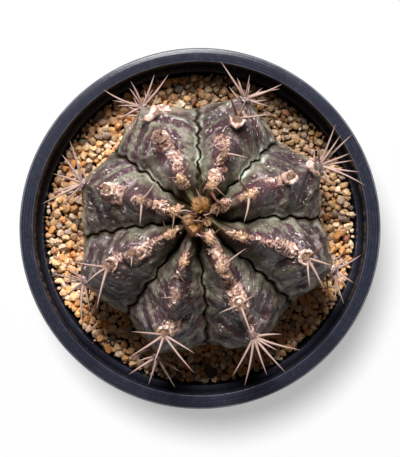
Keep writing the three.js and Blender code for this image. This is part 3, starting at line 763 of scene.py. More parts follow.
def ring(graph, place, radius, width, above):
    """A soft ring round the Z axis, with its sizes in millimetres: 1 at its radius, fading to 0 at
    its width from there, and only above a height."""
    def build(graph, place, radius, width, above):
        x, y, z = (Value(graph, part) for part in graph.add("ShaderNodeSeparateXYZ", {0: place}).outputs)
        away = graph.math("ABSOLUTE", graph.math("SQRT", x * x + y * y) - radius)
        return graph.ramp(away / width, 0.0, 1.0, 1.0, 0.0) * graph.math("GREATER_THAN", z, above)
    return graph.group("Ring", build, place, Radius=radius * MM, Width=width * MM, Above=above * MM)


class Material(Graph):
    """A material of one Principled shader. The names of the shader's inputs have _ for a space."""

    def __init__(self, name, **fixed):
        self.material = bpy.data.materials.new(name)
        self.material.use_nodes = True
        super().__init__(self.material.node_tree)
        self.tree.nodes.clear()
        self.fixed = fixed

    def finish(self, **values):
        """Adds the shader with its fixed and its worked-out inputs, and gives the material."""
        inputs = {key.replace("_", " "): value for key, value in {**self.fixed, **values}.items()}
        self.add("ShaderNodeOutputMaterial", {0: self.value(0, "ShaderNodeBsdfPrincipled", inputs)})
        return self.material


# ---- Materials ------------------------------------------------------------------------------------

def cork_material(settings):
    """Cork: cream to golden by the tone attribute, whitened in patches and browned in others, dark
    in its cracks and where the ridge attribute is low, and pale where that is high."""
    graph = Material("cork_scar", Roughness=0.5, Coat_Weight=0.15, Coat_Roughness=0.3)
    place = graph.place()
    tone, ridge = graph.attributes("tone", "ridge")
    edge = graph.value("Distance", "ShaderNodeTexVoronoi", {"Vector": place, "Scale": 800.0},
                       feature="DISTANCE_TO_EDGE")
    cracks = graph.math("MAXIMUM", graph.ramp(edge, 0.0, 0.07, 0.4, 0.0),
                        graph.ramp(ridge, 0.1, 0.55, 0.85, 0.0))
    colour = graph.paint(
        tuple(settings.cork),
        golden=(graph.ramp(tone, 0.3, 0.9, 0.0, 0.75), (0.40, 0.215, 0.085)),
        whitened=(graph.patches(place, 900.0, 0.5, 0.66, 0.8), (0.70, 0.55, 0.46)),
        browned=(graph.patches(place, 650.0, 0.48, 0.64, 0.75, 4.0, 0.5), (0.23, 0.11, 0.078)),
        cracked=(cracks, (0.13, 0.05, 0.040)),
        high=(graph.ramp(ridge, 0.72, 1.05, 0.0, 0.6), (0.86, 0.74, 0.66)))
    height = graph.noise(place, 2200.0, 5.0) + graph.noise(place, 900.0, 2.0)
    return graph.finish(Base_Color=colour, Normal=graph.bump(height, 0.0002, 0.55))


def skin_material(settings):
    """Waxy skin: olive and mauve streaks along the bands, more mauve on the outer part and stained
    dark there, brown patches, a thin pale wax bloom that is partly a painted sheen, near-black
    painted shade in each cleft, in the crown's middle and off the crests near it, a pale mineral
    coating and a painted highlight along the furrows' edges, pale flecks that are partly dry scuffs
    and partly painted glints, maroon skin round the scars, and skin that is paler low down."""
    graph = Material("cactus_skin", Coat_Roughness=0.17)
    place, flow = graph.place(), graph.attribute("flow", "Vector")
    young, crease, scuff, scar, outer = graph.attributes("young", "crease", "scuff", "scar", "outer")
    band, crest, lip, low = graph.attributes("band", "crest", "lip", "low")
    broad, fine = mottle(graph, place, 170.0), mottle(graph, place, 700.0)
    streak = mottle(graph, graph.stretched(flow, (0.25, 1.0, 1.0)), 0.42)
    hair = mottle(graph, graph.stretched(flow, (0.3, 2.4, 1.0)), 1.2)
    green = graph.blend(fine, tuple(settings.skin_green), tuple(0.4 * c for c in settings.skin_green))
    mauve = graph.blend(fine, tuple(settings.skin_mauve), tuple(0.55 * c for c in settings.skin_mauve))
    # Young olive skin on the crests near the crown, and near-black painted shade off them
    tender = graph.blend(graph.ramp(crest, 0.2, 1.0), (0.016, 0.009, 0.002), tuple(settings.skin_young))
    banding = band * 0.80 + streak * 0.24 + broad * 0.28 + outer * 0.07
    pale = flecks(graph, graph.stretched(flow, (1.0, 0.8, 1.0)), 1.7, 0.215, 0.05)
    pale = pale * graph.patches(place, 380.0, 0.46, 0.58) * scuff
    colour = graph.paint(
        green,
        bands=(graph.ramp(banding, 0.45, 0.69), mauve),
        shade=(graph.patches(place, 190.0, 0.45, 0.62, 0.62, 5.0, 0.4), (0.046, 0.025, 0.018)),
        streaks=(hair * 0.22, (0.050, 0.026, 0.022)),
        stains=(graph.patches(place, 105.0, 0.44, 0.56, 0.75, 3.0, 0.3) * outer, (0.024, 0.013, 0.011)),
        # A pale wax bloom near the crests, partly a painted sheen
        film=(graph.patches(place, 250.0, 0.52, 0.66, 0.5, 6.0, 0.9) * scuff, (0.38, 0.30, 0.285)),
        # Painted shade, near black, off the crests near the crown, in the crown's middle and in each cleft
        # and wrinkle, over young olive skin on the crests there
        tender=(graph.math("MAXIMUM", young, crease * 0.7), tender),
        # Painted shade darkening each cleft
        clefts=(graph.ramp(crease, 0.7, 1.0, 0.0, 0.85), (0.034, 0.027, 0.012)),
        # A pale mineral coating and a painted highlight along the furrows' edges
        lips=(lip * graph.ramp(graph.noise(place, 330.0, 5.0), 0.46, 0.62, 0.05, 0.55), (0.37, 0.40, 0.33)),
        # Pale flecks: partly dry scuffs, partly painted glints
        flecks=(pale * 0.8, (0.68, 0.58, 0.56)),
        halos=(graph.ramp(scar, 0.02, 0.4, 0.0, 0.75), (0.115, 0.040, 0.048)),
        low=(low * graph.ramp(broad, 0.2, 0.8, 0.3, 0.75), (0.36, 0.29, 0.20)))
    creased = graph.noise(graph.stretched(flow, (0.4, 1.0, 1.0)), 0.75, 2.0) * (1.7 - young * 1.5)
    height = graph.noise(place, 2600.0) + graph.noise(place, 700.0) * 2.2 + creased
    gloss = 1.0 - graph.math("MAXIMUM", young * 0.85, crease)
    return graph.finish(
        Base_Color=colour, Normal=graph.bump(height, 0.00027, 0.75),
        Roughness=graph.ramp(fine, 0.0, 1.0, 0.27, 0.46) + young * 0.3 + crease * 0.4,
        Specular_IOR_Level=gloss * 0.45, Coat_Weight=gloss * 0.32)


def spine_material(settings):
    """Horn: pale with a browner tip and root, or dark where the tone attribute says so, with fine
    streaks."""
    graph = Material("spine_horn", Roughness=0.5, Specular_IOR_Level=0.22)
    place = graph.place()
    along, tone = graph.attributes("along", "tone")
    ends = graph.ramp(along, 0.66, 1.0, 0.0, 0.6) + graph.ramp(along, 0.0, 0.25, 0.5, 0.0)
    colour = graph.paint(
        tuple(settings.spine_pale),
        dark=(tone, tuple(settings.spine_dark)),
        ends=(ends * (1.0 - tone), (0.17, 0.085, 0.062)),
        streaks=(mottle(graph, place, 900.0) * (0.35 - tone * 0.3), (0.20, 0.125, 0.11)))
    return graph.finish(Base_Color=colour, Normal=graph.bump(graph.noise(place, 3000.0), 0.0001, 0.5))


def wool_material(settings):
    """Felt: lilac-grey where the golden attribute is minus a half, grey-brown at 0, cream at a half,
    golden at 1 and brown from 1.6, with a sheen and matted shade."""
    graph = Material("areole_wool", Roughness=0.95, Sheen_Weight=0.02, Sheen_Roughness=0.5,
                     Specular_IOR_Level=0.12)
    place, golden = graph.place(), graph.attribute("golden")
    colour = graph.paint(
        (0.42, 0.31, 0.31),
        grey_brown=(graph.ramp(golden, -0.5, 0.0), (0.24, 0.145, 0.105)),
        cream=(graph.ramp(golden, 0.0, 0.5), (0.88, 0.60, 0.41)),
        golden=(graph.ramp(golden, 0.5, 1.0), tuple(settings.wool)),
        brown=(graph.ramp(golden, 1.0, 1.6), (0.040, 0.015, 0.006)),
        matted=(mottle(graph, place, 1300.0) * 0.4, (0.10, 0.045, 0.020)))
    return graph.finish(Base_Color=colour, Normal=graph.bump(graph.noise(place, 4200.0, 4.0), 0.0002, 0.9))


def stone_material():
    """Worn grit: each grain's own tint, mottled and freckled, with a rough skin."""
    graph = Material("gravel_stone")
    place = graph.place()
    shade = mottle(graph, place, 1100.0)
    colour = graph.paint(
        graph.attribute("tint", "Color"),
        mottled=(shade * 0.35, (0.22, 0.105, 0.045)),
        freckles=(flecks(graph, place, 2600.0, 0.2, 0.06) * 0.35, (0.86, 0.74, 0.58)))
    return graph.finish(Base_Color=colour, Roughness=graph.ramp(shade, 0.0, 1.0, 0.5, 0.85),
                        Normal=graph.bump(graph.noise(place, 1800.0, 5.0), 0.0002, 0.7))


def plastic_material(settings):
    """Moulded charcoal plastic: edges lightened by wear and by painted highlight lines along the rim's
    outer and inner edges and the step, faint turned lines on the rim, a wall inside it darkened as
    painted shade, a few scratches, a little dust."""
    graph = Material("pot_plastic")
    place = graph.place()
    fine, grime = mottle(graph, place, 60.0), dust(graph, place, 0.035)
    plastic, worn = tuple(settings.plastic), tuple(settings.worn)
    # Rings for the lighter edges, partly wear and partly painted highlight lines on the rim's outer and
    # inner edges and the step; inside marks the inner wall for painted shade
    outer_edge, inner_edge = ring(graph, place, 44.6, 0.2, 76.8), ring(graph, place, 41.7, 0.22, 77.6)
    step_edge, inside = ring(graph, place, 39.7, 0.25, 69.8), ring(graph, place, 40.9, 0.9, 69.6)
    lines = [ring(graph, place, radius, 0.12, 77.5) for radius in (42.35, 43.25, 43.9)]
    fainter = (inner_edge + step_edge) * 0.35 + (lines[0] + lines[1]) * 0.14 + lines[2] * 0.22
    worn_off = graph.ramp(graph.noise(place, 260.0, 4.0), 0.3, 0.65, 0.35, 0.85)
    along_x = graph.noise(graph.stretched(place, (0.06, 1.0, 0.4)), 2200.0)
    along_y = graph.noise(graph.stretched(place, (1.0, 0.05, 0.4)), 1900.0)
    scratches = graph.ramp(graph.math("MAXIMUM", along_x, along_y), 0.72, 0.8)
    colour = graph.paint(
        plastic,
        clouds=(fine * 0.35, tuple(1.4 * c for c in plastic)),
        # Painted shade: the inner wall under the rim darkened nearly to black; its specular is lowered
        # below as well
        inside=(inside * 0.8, (0.005, 0.0055, 0.008)),
        # Wear and painted highlight lines on the edges, in one coat
        rubbed=(graph.math("MAXIMUM", outer_edge, fainter) * worn_off, worn),
        scratches=(scratches * 0.16, worn),
        dust=(grime, (0.26, 0.24, 0.22)))
    height = graph.noise(place, 1500.0) + scratches * -0.5
    return graph.finish(Base_Color=colour, Roughness=graph.ramp(fine, 0.0, 1.0, 0.22, 0.28) + grime * 0.8,
                        Specular_IOR_Level=0.175 - inside * 0.16, Normal=graph.bump(height, 0.00004, 0.4))


def soil_material():
    """Damp peat with pale grit and fibres."""
    graph = Material("potting_mix", Roughness=0.92)
    place = graph.place()
    colour = graph.paint(
        (0.012, 0.008, 0.005),
        fibres=(mottle(graph, place, 500.0), (0.045, 0.026, 0.014)),
        grit=(flecks(graph, place, 900.0, 0.14, 0.03), (0.36, 0.31, 0.25)))
    return graph.finish(Base_Color=colour, Normal=graph.bump(graph.noise(place, 700.0, 6.0), 0.0008, 1.0))


# ---- Pieces: pot and planting ---------------------------------------------------------------------

def rounded(corners):
    """A profile through (radius, z, fillet) corners, each corner replaced by an arc of its fillet
    that touches both of its sides."""
    points = []
    for i, (r, z, fillet) in enumerate(corners):
        here = np.array([r, z], float)
        if fillet == 0 or i in (0, len(corners) - 1):
            points.append(here)
            continue
        to_last = unit(np.array(corners[i - 1][:2]) - here)
        to_next = unit(np.array(corners[i + 1][:2]) - here)
        half = math.acos(np.clip(to_last @ to_next, -1, 1)) / 2
        centre = here + unit(to_last + to_next) * fillet / math.sin(half)
        a = here + to_last * fillet / math.tan(half) - centre
        b = here + to_next * fillet / math.tan(half) - centre
        for t in np.linspace(0, 1, 6):
            points.append(centre + unit(mix(a, b, t)) * fillet)
    return np.array(points)


def refine(profile, longest):
    """The profile with each stretch that is longer than longest cut into equal shorter ones."""
    points = [profile[0]]
    for a, b in zip(profile[:-1], profile[1:]):
        count = max(1, int(math.ceil(np.linalg.norm(b - a) / longest)))
        points += [mix(a, b, t) for t in np.linspace(0, 1, count + 1)[1:]]
    return np.array(points)


def turned(profile, azimuth):
    """Rings of points, one for each radius and height of a profile, at the azimuths in radians."""
    return polar(profile[:, :1], azimuth, profile[:, 1:]).reshape(-1, 3)


def lathe(profile, segments):
    """Points and faces of a profile that starts and ends on the Z axis, turned round it."""
    ends = np.array([[0, 0, profile[0][1]], [0, 0, profile[-1][1]]])
    points = np.concatenate([turned(profile[1:-1], circle(segments)), ends])
    return points, closed_grid((len(profile) - 2, segments))


def inside_radius(z):
    """Inside radius of the pot at a height, a straight taper from its floor to its step."""
    return mix(POT_FLOOR[0], POT_STEP[0], (z - POT_FLOOR[1]) / (POT_STEP[1] - POT_FLOOR[1]))


def cut(piece, cutters):
    """Takes the cutters out of a piece, applies that, removes them, and clears away the faces
    without an area that the cuts leave."""
    for cutter in cutters:
        change = piece.modifiers.new("cut", "BOOLEAN")
        change.object = cutter
        change.operation = "DIFFERENCE"
        change.solver = "EXACT"
    result = bpy.data.meshes.new_from_object(piece.evaluated_get(bpy.context.evaluated_depsgraph_get()))
    work = bmesh.new()
    work.from_mesh(result)
    bmesh.ops.dissolve_degenerate(work, dist=0.002 * MM, edges=work.edges)
    work.to_mesh(result)
    work.free()
    piece.modifiers.clear()
    piece.data = result
    for cutter in cutters:
        bpy.data.objects.remove(cutter)


def on_circle(radius, degrees, z):
    """A place in metres at a radius, an azimuth and a height in millimetres and degrees."""
    a = math.radians(degrees)
    return radius * MM * math.cos(a), radius * MM * math.sin(a), z * MM


def make_pot(settings):
    """The pot: its profile turned about the axis, with drain holes and foot notches cut out."""
    under_band = inside_radius(BAND_FOOT) + settings.wall / MM
    corners = (
        # The underside, the foot and the wall
        (0, POT_UNDERSIDE, 0), (25.5, POT_UNDERSIDE, 0.5), (26.1, 0, 0.4), (FOOT_RADIUS, 0, 0.7),
        (under_band, BAND_FOOT, 0.6),
        # The band round the rim, and its top, which falls a little towards the outside
        (44.55, 68.35, 0.55), (45, 76.8, 0.5), (44.7, 77.68, 0.22), (43.6, 77.92, 2.6),
        (42.3, 78, 3.0), (41.55, 77.95, 0.1),
        # The inside, down to the step and to the floor
        (41.3, 77.2, 0.3), (40.85, 71.5, 0.8), (*POT_STEP, 0.35), (*POT_FLOOR, 1.0), (0, POT_FLOOR[1], 0),
    )
    points, faces = lathe(refine(rounded(corners), 4.0), settings.segments)
    pot = add_piece("pot_body", points, faces, plastic_material(settings), "pot", ("pot",))
    cutters = []
    for i in range(DRAIN_HOLES):
        bpy.ops.mesh.primitive_cylinder_add(
            vertices=40, radius=DRAIN_RADIUS * MM, depth=8 * MM,
            location=on_circle(DRAIN_CIRCLE, 360 / DRAIN_HOLES * i, POT_UNDERSIDE))
        cutters.append(bpy.context.object)
    for i in range(FOOT_NOTCHES):
        azimuth = 45 + 360 / FOOT_NOTCHES * i
        bpy.ops.mesh.primitive_cube_add(
            size=1, rotation=(0, 0, math.radians(azimuth)), scale=[side * MM for side in NOTCH_SIZE],
            location=on_circle(FOOT_RADIUS, azimuth, 0))
        cutters.append(bpy.context.object)
    cut(pot, cutters)


# The palette of the grains, and how common each of its tints is
GRAIN_TINTS = np.array([
    (0.66, 0.41, 0.215), (0.58, 0.33, 0.16), (0.64, 0.34, 0.13), (0.60, 0.25, 0.07),
    (0.80, 0.59, 0.38), (0.55, 0.365, 0.25), (0.40, 0.275, 0.195), (0.21, 0.16, 0.13),
    (0.065, 0.055, 0.048), (0.26, 0.095, 0.045),
])
GRAIN_SHARES = np.array([0.22, 0.20, 0.15, 0.09, 0.11, 0.09, 0.05, 0.04, 0.03, 0.02])
# Painted light and shade on the dressing: azimuths, and the factor on its tints there. Above 1 it is
# painted light that lifts the plant's shadow, most at the lower left and lower right; below 1 it is painted
# shade, deepest at the top and upper right.
DRYNESS = ((-135, -75, -40, -12, 20, 48, 70, 90, 115, 150, 180),
           (2.3, 1.3, 2.2, 1.0, 0.75, 0.38, 0.40, 0.58, 1.1, 0.96, 0.80))
# The lower layer of grains: places tried and radius
UNDER_TRIES, UNDER_RADIUS = 9000, 1.05
# The stones that stand out, by the part's own names: slot and tint
ACCENTS = {
    "pale_pebble": ("pale_stone", (0.78, 0.68, 0.50)),
    "slate_pebble": ("dark_stone", (0.05, 0.052, 0.06)),
    "black_pebble": ("dark_stone", (0.028, 0.026, 0.024)),
    "amber_pebble": ("amber_stone", (0.55, 0.23, 0.06)),
}


def scatter(rng, tries, radii, inner, outer, closeness, keep_off):
    """Places in a ring, tried at random from the largest radius down, and kept where they stay the
    given share of the two radii from all others. Returns x, y and radius of each."""
    cell = 2 * radii.max()
    kept, cells = [], {}

    def note(x, y, radius):
        cells.setdefault((int(x // cell), int(y // cell)), []).append((x, y, radius))

    def near(x, y):
        i, j = int(x // cell), int(y // cell)
        return [g for a in (-1, 0, 1) for b in (-1, 0, 1) for g in cells.get((i + a, j + b), ())]

    for stone in keep_off:
        note(*stone)
    out = np.sqrt(rng.uniform(inner ** 2, outer ** 2, tries))
    angle = rng.uniform(0, 2 * np.pi, tries)
    for x, y, radius in zip(out * np.cos(angle), out * np.sin(angle), radii):
        if math.hypot(x, y) + radius > outer or math.hypot(x, y) - radius < inner:
            continue
        if all((x - a) ** 2 + (y - b) ** 2 > (closeness * (radius + r)) ** 2 for a, b, r in near(x, y)):
            kept.append((x, y, radius))
            note(x, y, radius)
    return np.array(kept)


def grain_tints(rng, spots):
    """A tint for each grain, drawn from the palette, scaled by the painted light and shade at its
    azimuth, varied a little, and kept under white without a change of hue."""
    count = len(spots)
    tint = GRAIN_TINTS[rng.choice(len(GRAIN_TINTS), count, p=GRAIN_SHARES)]
    azimuth = np.degrees(np.arctan2(spots[:, 1], spots[:, 0]))
    # Painted light and shade by azimuth
    tint = tint * np.interp(azimuth, *DRYNESS, period=360)[:, None]
    tint = tint * rng.uniform(0.7, 1.3, (count, 1)) * rng.uniform(0.94, 1.06, (count, 3))
    return tint / np.maximum(tint.max(1, keepdims=True) / 0.92, 1)


def make_gravel(settings):
    """The dressing: a lower layer that closes the bed, a top layer packed from the largest grain
    down, and the accent stones where their solids lie."""
    rng = np.random.default_rng(21)
    material = stone_material()
    level = settings.level / MM
    accents = []
    for node in ACCENTS:
        low, high = (np.array(corner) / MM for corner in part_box(node))
        accents.append(((low + high) / 2, (high - low) / 2))
    keep_off = [(c[0], c[1], h[:2].mean()) for c, h in accents]
    inner, outer = COLLAR_RADIUS + 0.3, inside_radius(level) - 0.1
    radii = mix(settings.smallest, settings.largest, rng.random(settings.tries) ** 1.9) / MM
    top = scatter(rng, settings.tries, np.sort(radii)[::-1], inner, outer, 0.8, keep_off)
    lower = scatter(rng, UNDER_TRIES, np.full(UNDER_TRIES, UNDER_RADIUS), inner, outer, 0.62, ())
    for name, spots, height, spread, nodes in (
            ("gravel_top", top, level, 0.3, ("gravel_dressing",)),
            ("gravel_under", lower, level - 1.0, 0.25, ())):
        lift = (spots[:, 2] - 0.9) * 0.3 + rng.normal(0, spread, len(spots)).clip(-0.6, 0.6)
        centres = np.column_stack([spots[:, :2], height + lift])
        points, faces = stones(rng, 1, centres, spots[:, 2] * 1.12)
        add_piece(name, points, faces, material, "gravel", nodes, smooth_shaded=False,
                  tint=grain_tints(rng, spots))
    for (node, (slot, tint)), (centre, half) in zip(ACCENTS.items(), accents):
        points, faces = stones(rng, 3, centre[None], np.array([half.max() * 1.02]), 12)
        add_piece(node + "_stone", points, faces, material, slot, (node,), smooth_shaded=False,
                  tint=np.array([tint]))


# ---- Pieces: plant --------------------------------------------------------------------------------

def make_skin(settings):
    """The skin: rings of points from the crown to the root, each from skin_point, pushed out by
    cosine folds that slant across the ribs and by lumps of two sizes, and in by wrinkles where a
    third noise is near zero. The band attribute follows the folds on the outer half, and the
    distance from the crest on the inner one."""
    each = 80
    rib = np.repeat(np.arange(RIB_COUNT), each)
    side = np.arange(each) / each * 2 - 1
    side = np.tile(side + 0.1 * np.sin(np.pi * side), RIB_COUNT)
    azimuth = across_rib(rib, side, np.ones(each * RIB_COUNT))[0]
    rows = np.concatenate([np.linspace(1, 90, 120), np.linspace(93, 180, 22)])
    rib, side = np.tile(rib, len(rows)), np.tile(side, len(rows))
    latitude = np.repeat(rows, each * RIB_COUNT)
    share = np.abs(side)
    plain = skin_point(rib, side, latitude)
    arc = arc_length(np.minimum(latitude, 90)) + np.maximum(latitude - 90, 0) * 0.2
    width = half_width(rib, latitude)

    # The folds, whose phase runs along flow, the lumps, the wrinkles, and the points
    span = np.hypot(plain[:, 0] - CROWN[0], plain[:, 1] - CROWN[1])
    flow = 0.25 * arc + 0.75 * span + 0.75 * share * width + 1.2 * lumps(plain, 9.0, 5) + rib * 1.3
    wave = np.cos(2 * np.pi * flow / (settings.band_pitch / MM))
    outer = smooth(17, 32, arc)
    flank = 1 - 0.75 * smooth(0.62, 0.9, share)
    ripple = settings.ripple / MM * wave * outer * flank * (0.4 + 0.6 * smooth(0.05, 0.35, share))
    swell = 0.75 * lumps(plain, 7.0, 77) + 0.4 * roughness(plain, 3.2, 41, 2)
    near_zero = np.exp(-((lumps(plain + 31, 6.5, 91) / 0.09) ** 2))
    wrinkle = near_zero * smooth(12, 20, arc) * (0.3 + 0.7 * flank)
    relief = swell * smooth(6, 16, arc) * flank * (1 - 0.5 * smooth(80, 90, latitude))
    points = skin_point(rib, side, latitude, ripple + relief - 0.32 * wrinkle)
    root_profile = refine(np.array([(COLLAR_RADIUS, COLLAR_Z), *ROOT]), 3.0)[1:]
    ends = np.array([[*CROWN, EQUATOR_Z + DOME_HEIGHT - CROWN_DIP], [0, 0, ROOT[-1][1] - 0.1]])
    points = np.concatenate([points, turned(root_profile, azimuth), ends])

    # What the material needs to know of each place, and its value on the root
    # crease marks where the material paints shade: the clefts, the crown's middle and the wrinkles
    crease = smooth(mix(0.45, 0.89, smooth(5, 16, arc)), 0.995, share) * (1 - smooth(95, 130, latitude))
    crease = np.maximum(np.maximum(crease, 0.9 * (1 - smooth(2.5, 6, arc))), 0.42 * wrinkle)
    # The pale mineral coating and painted highlight on each furrow's lip, as strong as its row says
    film = LIP_FILM[furrow_beside(rib, side)]
    lip = film * np.exp(-(((share - 0.89) / mix(0.015, 0.06, film / 1.7)) ** 2)) * smooth(8, 14, arc)
    low = smooth(66, 88, latitude) * (1 - crease)
    masks = {
        "band": (mix(0.15 + 0.75 * (1 - smooth(0.1, 0.75, share)), 0.5 - 0.5 * wave, 0.85 * outer), 0.6),
        "crest": (1 - smooth(0.0, 0.5, share), 0),
        "young": (1 - smooth(5, 13, arc + 4 * lumps(plain, 4.0, 9)), 0.3),
        "crease": (crease, 0),
        "scar": (scar_at(rib, side, latitude, plain)[0], 0),
        "lip": (lip * (1 - smooth(88, 100, latitude)), 0),
        # Where the pale flecks and the bloom go: dry scuffs and wax, with painted glints and sheen
        "scuff": (smooth(0.05, 0.5, 1 - share) * smooth(10, 18, arc) * (1 - smooth(95, 120, latitude)), 0),
        "low": (low, 1),
        "outer": (outer * (1 - low), 0),
        "flow": (np.stack([side * width + rib * 40, flow, rib * 3.0], -1), 0),
    }
    extra = len(points) - len(plain)
    masks = {key: np.concatenate([values, np.full((extra, *values.shape[1:]), float(root))])
             for key, (values, root) in masks.items()}
    rings = (len(rows) + len(root_profile), each * RIB_COUNT)
    add_piece("stem_skin", points, closed_grid(rings), skin_material(settings), "stem",
              ("cactus_stem",), **masks)


def tubes(lines, across, above, radii, sides):
    """Rings of points round the points of lines, each in the plane of its two directions."""
    turn = circle(sides)[:, None]
    around = across[..., None, :] * np.cos(turn) + above[..., None, :] * np.sin(turn)
    return lines[..., None, :] + around * radii[..., None, None]


def needles(starts, along, above, lengths, radii, bows, sideways, sides=7, rings=10):
    """Tapering needles. The line of each runs straight along its length plus a bow above it and one
    sideways, both half sine waves. Its radius falls as the way left to the tip to the power 0.6,
    and swells a little at the root. Also returns the share of the way to the tip at each point."""
    t = np.linspace(0, 0.985, rings)
    across = np.cross(above, along)
    bend = np.sin(np.pi * t)
    lines = (starts[:, None] + along[:, None] * t[None, :, None] * lengths[:, None, None]
             + above[:, None] * (bend * bows[:, None] * lengths[:, None])[..., None]
             + across[:, None] * (bend * sideways[:, None] * lengths[:, None])[..., None])
    radius = radii[:, None] * ((1 - t) ** 0.6 + 0.2 * np.exp(-((t / 0.08) ** 2)))
    body = tubes(lines, across[:, None], above[:, None], radius, sides).reshape(len(starts), -1, 3)
    root = starts - along * radii[:, None] * 0.5
    tip = starts + along * lengths[:, None]
    points = np.concatenate([body, root[:, None], tip[:, None]], 1)
    where = np.concatenate([np.repeat(t, sides), [0, 1]])
    points, faces = copies(closed_grid((rings, sides)), points)
    return points, faces, np.tile(where, len(starts))


def make_spines(settings):
    """All the spines, each from its areole at its own bearing, length and rise. The pale ones are
    long and old, the dark ones young or central."""
    rng = np.random.default_rng(5)
    sink = 0.5
    starts, along, lengths, radii, tones = [], [], [], [], []
    for rib, index, latitude, spines in every_areole():
        centre = seat(rib, latitude)[0]
        out = np.sin(np.radians(min(latitude, 90)))
        azimuth = np.degrees(across_rib(np.array(rib), np.array(0.0), out)[0])
        for number, (bearing, span, rise) in enumerate(spines):
            rise = min(rise, math.degrees(math.atan((SPINE_TOP - centre[2]) / span)))
            direction = heading(azimuth + bearing, rise)
            starts.append(centre + SPINE_SPREAD * heading(azimuth + bearing, 0) - direction * sink)
            along.append(direction)
            lengths.append((span - SPINE_SPREAD) / math.cos(math.radians(rise)) + sink)
            thinner = mix(0.62, 1.0, smooth(2.5, 7.5, span))
            radii.append(settings.spine_radius / MM * thinner * rng.uniform(0.9, 1.1))
            dark = (rib, index, number) in DARK_SPINES
            tones.append(np.clip(0.9 if dark else 0.65 * (latitude < 20) + rng.uniform(0, 0.22), 0, 1))
    starts, along, lengths, radii = (np.array(v, float) for v in (starts, along, lengths, radii))
    bows = np.where(lengths > 5, SPINE_BEND, 0.03)
    sideways = rng.normal(0, 0.025, len(starts))
    points, faces, where = needles(starts, along, upper_side(along), lengths, radii, bows, sideways)
    add_piece("spines", points, faces, spine_material(settings), "stem", along=where, tone=tones)


def fibres(rng, centre, axes, reach, height, count, length, thickness, combed=0.0):
    """Roots, directions and sizes of wool fibres over a low dome: random places on the dome, each
    fibre leaning out from the dome's middle, in a random direction and, if combed, along the first
    axis."""
    spread = np.sqrt(rng.random(count))
    angle = rng.uniform(0, 2 * np.pi, count)
    u, v = spread * np.cos(angle) * reach[0], spread * np.sin(angle) * reach[1]
    w = height * np.sqrt(np.maximum(1 - spread ** 2, 0)) * 0.9
    roots = centre + np.stack([u, v, w], -1) @ axes
    lean = np.stack([u / reach[0] + combed, v / reach[1], np.full(count, 0.55)], -1)
    lean = lean + rng.normal(0, 0.55 - 0.2 * combed, (count, 3))
    lengths, radii = length * rng.uniform(0.5, 1.2, count), thickness * rng.uniform(0.7, 1.2, count)
    return roots, unit(lean @ axes), lengths, radii


def add_pads(name, places, material, nodes, golden):
    """One piece from felt pads. Each is a ball stretched to its reach and height, roughened by
    noise, and set on its centre along its axes."""
    base, faces = ball(3)
    pads = []
    for centre, axes, reach, height, seed in places:
        local = base * np.array([*reach, height])
        local = local * (1 + 0.3 * roughness(base + seed * 3.7, 0.55, seed, 3))[:, None]
        pads.append(centre + local @ axes)
    points, faces = copies([faces], np.array(pads))
    add_piece(name, points, faces, material, "wool", nodes, golden=golden)


def make_areoles(settings):
    """Felt pads on the crests with fibres standing out of them: golden and full near the crown,
    grey-brown and low on old areoles, and lilac-grey on the oldest."""
    rng = np.random.default_rng(8)
    pads, golden, hair, hair_golden = [], [], [], []
    for number, (rib, _, latitude, _) in enumerate(every_areole()):
        centre, axes = seat(rib, latitude)
        gold = float(1 - smooth(15, 34, latitude)) * 0.58
        felt = gold - 0.45 * float(smooth(52, 70, latitude))
        size = mix(1.0, 1.35, float(smooth(15, 50, latitude)))
        reach, height = (size * 1.1, size * 0.9), mix(0.55, 1.2, gold)
        pads.append((centre, axes, reach, height, number))
        golden.append(felt)
        count = int(mix(170, 260, gold))
        hair.append(fibres(rng, centre, axes, reach, height, count, mix(0.7, 0.95, gold), 0.042))
        hair_golden.append(felt + rng.normal(0, 0.3 - 0.15 * gold, count))
    material = wool_material(settings)
    add_pads("areole_felt", pads, material, (), golden)
    add_fibres("areole_hair", hair, np.concatenate(hair_golden), material, rng)


def add_fibres(name, groups, golden, material, rng):
    """One piece from many fibres, each a thin bent needle of three sides."""
    roots, along, lengths, radii = (np.concatenate(column) for column in zip(*groups))
    above = unit(np.cross(along, unit(rng.normal(size=along.shape))))
    bows, sideways = rng.normal(0, 0.18, len(roots)), rng.normal(0, 0.12, len(roots))
    points, faces, _ = needles(roots, along, above, lengths, radii, bows, sideways, 3, 4)
    add_piece(name, points, faces, material, "wool", golden=golden)


def make_collars(material):
    """Raised bark round old areoles, on the side towards the crown: a tube along an arc, thickest
    in the middle of its sweep, thinning to its ends, and roughened by noise."""
    rings, sides = 48, 14
    t = np.linspace(-1, 1, rings)
    parts, ridges = [], []
    for rib, latitude, radius, thickness, sweep, turn, _ in COLLARS:
        centre, axes = seat(rib, latitude)
        angle = np.radians(180 + turn + t * sweep / 2)
        line = np.stack([radius * np.cos(angle), 0.85 * radius * np.sin(angle), np.full(rings, 0.12)], -1)
        thick = 1.15 * thickness * (1 - 0.75 * np.abs(t) ** 2.5)
        thick = thick * (1 + 0.4 * lumps(line + rib * 7, 0.9, 3))
        tube = tubes(line, polar(1.0, angle, 0.0), np.array([0, 0, 1.0]), thick, sides)
        local = np.concatenate([tube.reshape(-1, 3), line[[0, -1]]])
        local = local + 0.23 * roughness(local + rib * 11, 0.65, 17, 3)[:, None] * unit(local)
        parts.append(centre + local @ axes)
        ridges.append(0.68 + 0.6 * roughness(local + rib * 5, 0.7, 23, 3))
    points, faces = copies(closed_grid((rings, sides)), np.array(parts))
    add_piece("bark_collars", points, faces, material, "stem", tone=[collar[-1] for collar in COLLARS],
              ridge=np.concatenate(ridges))


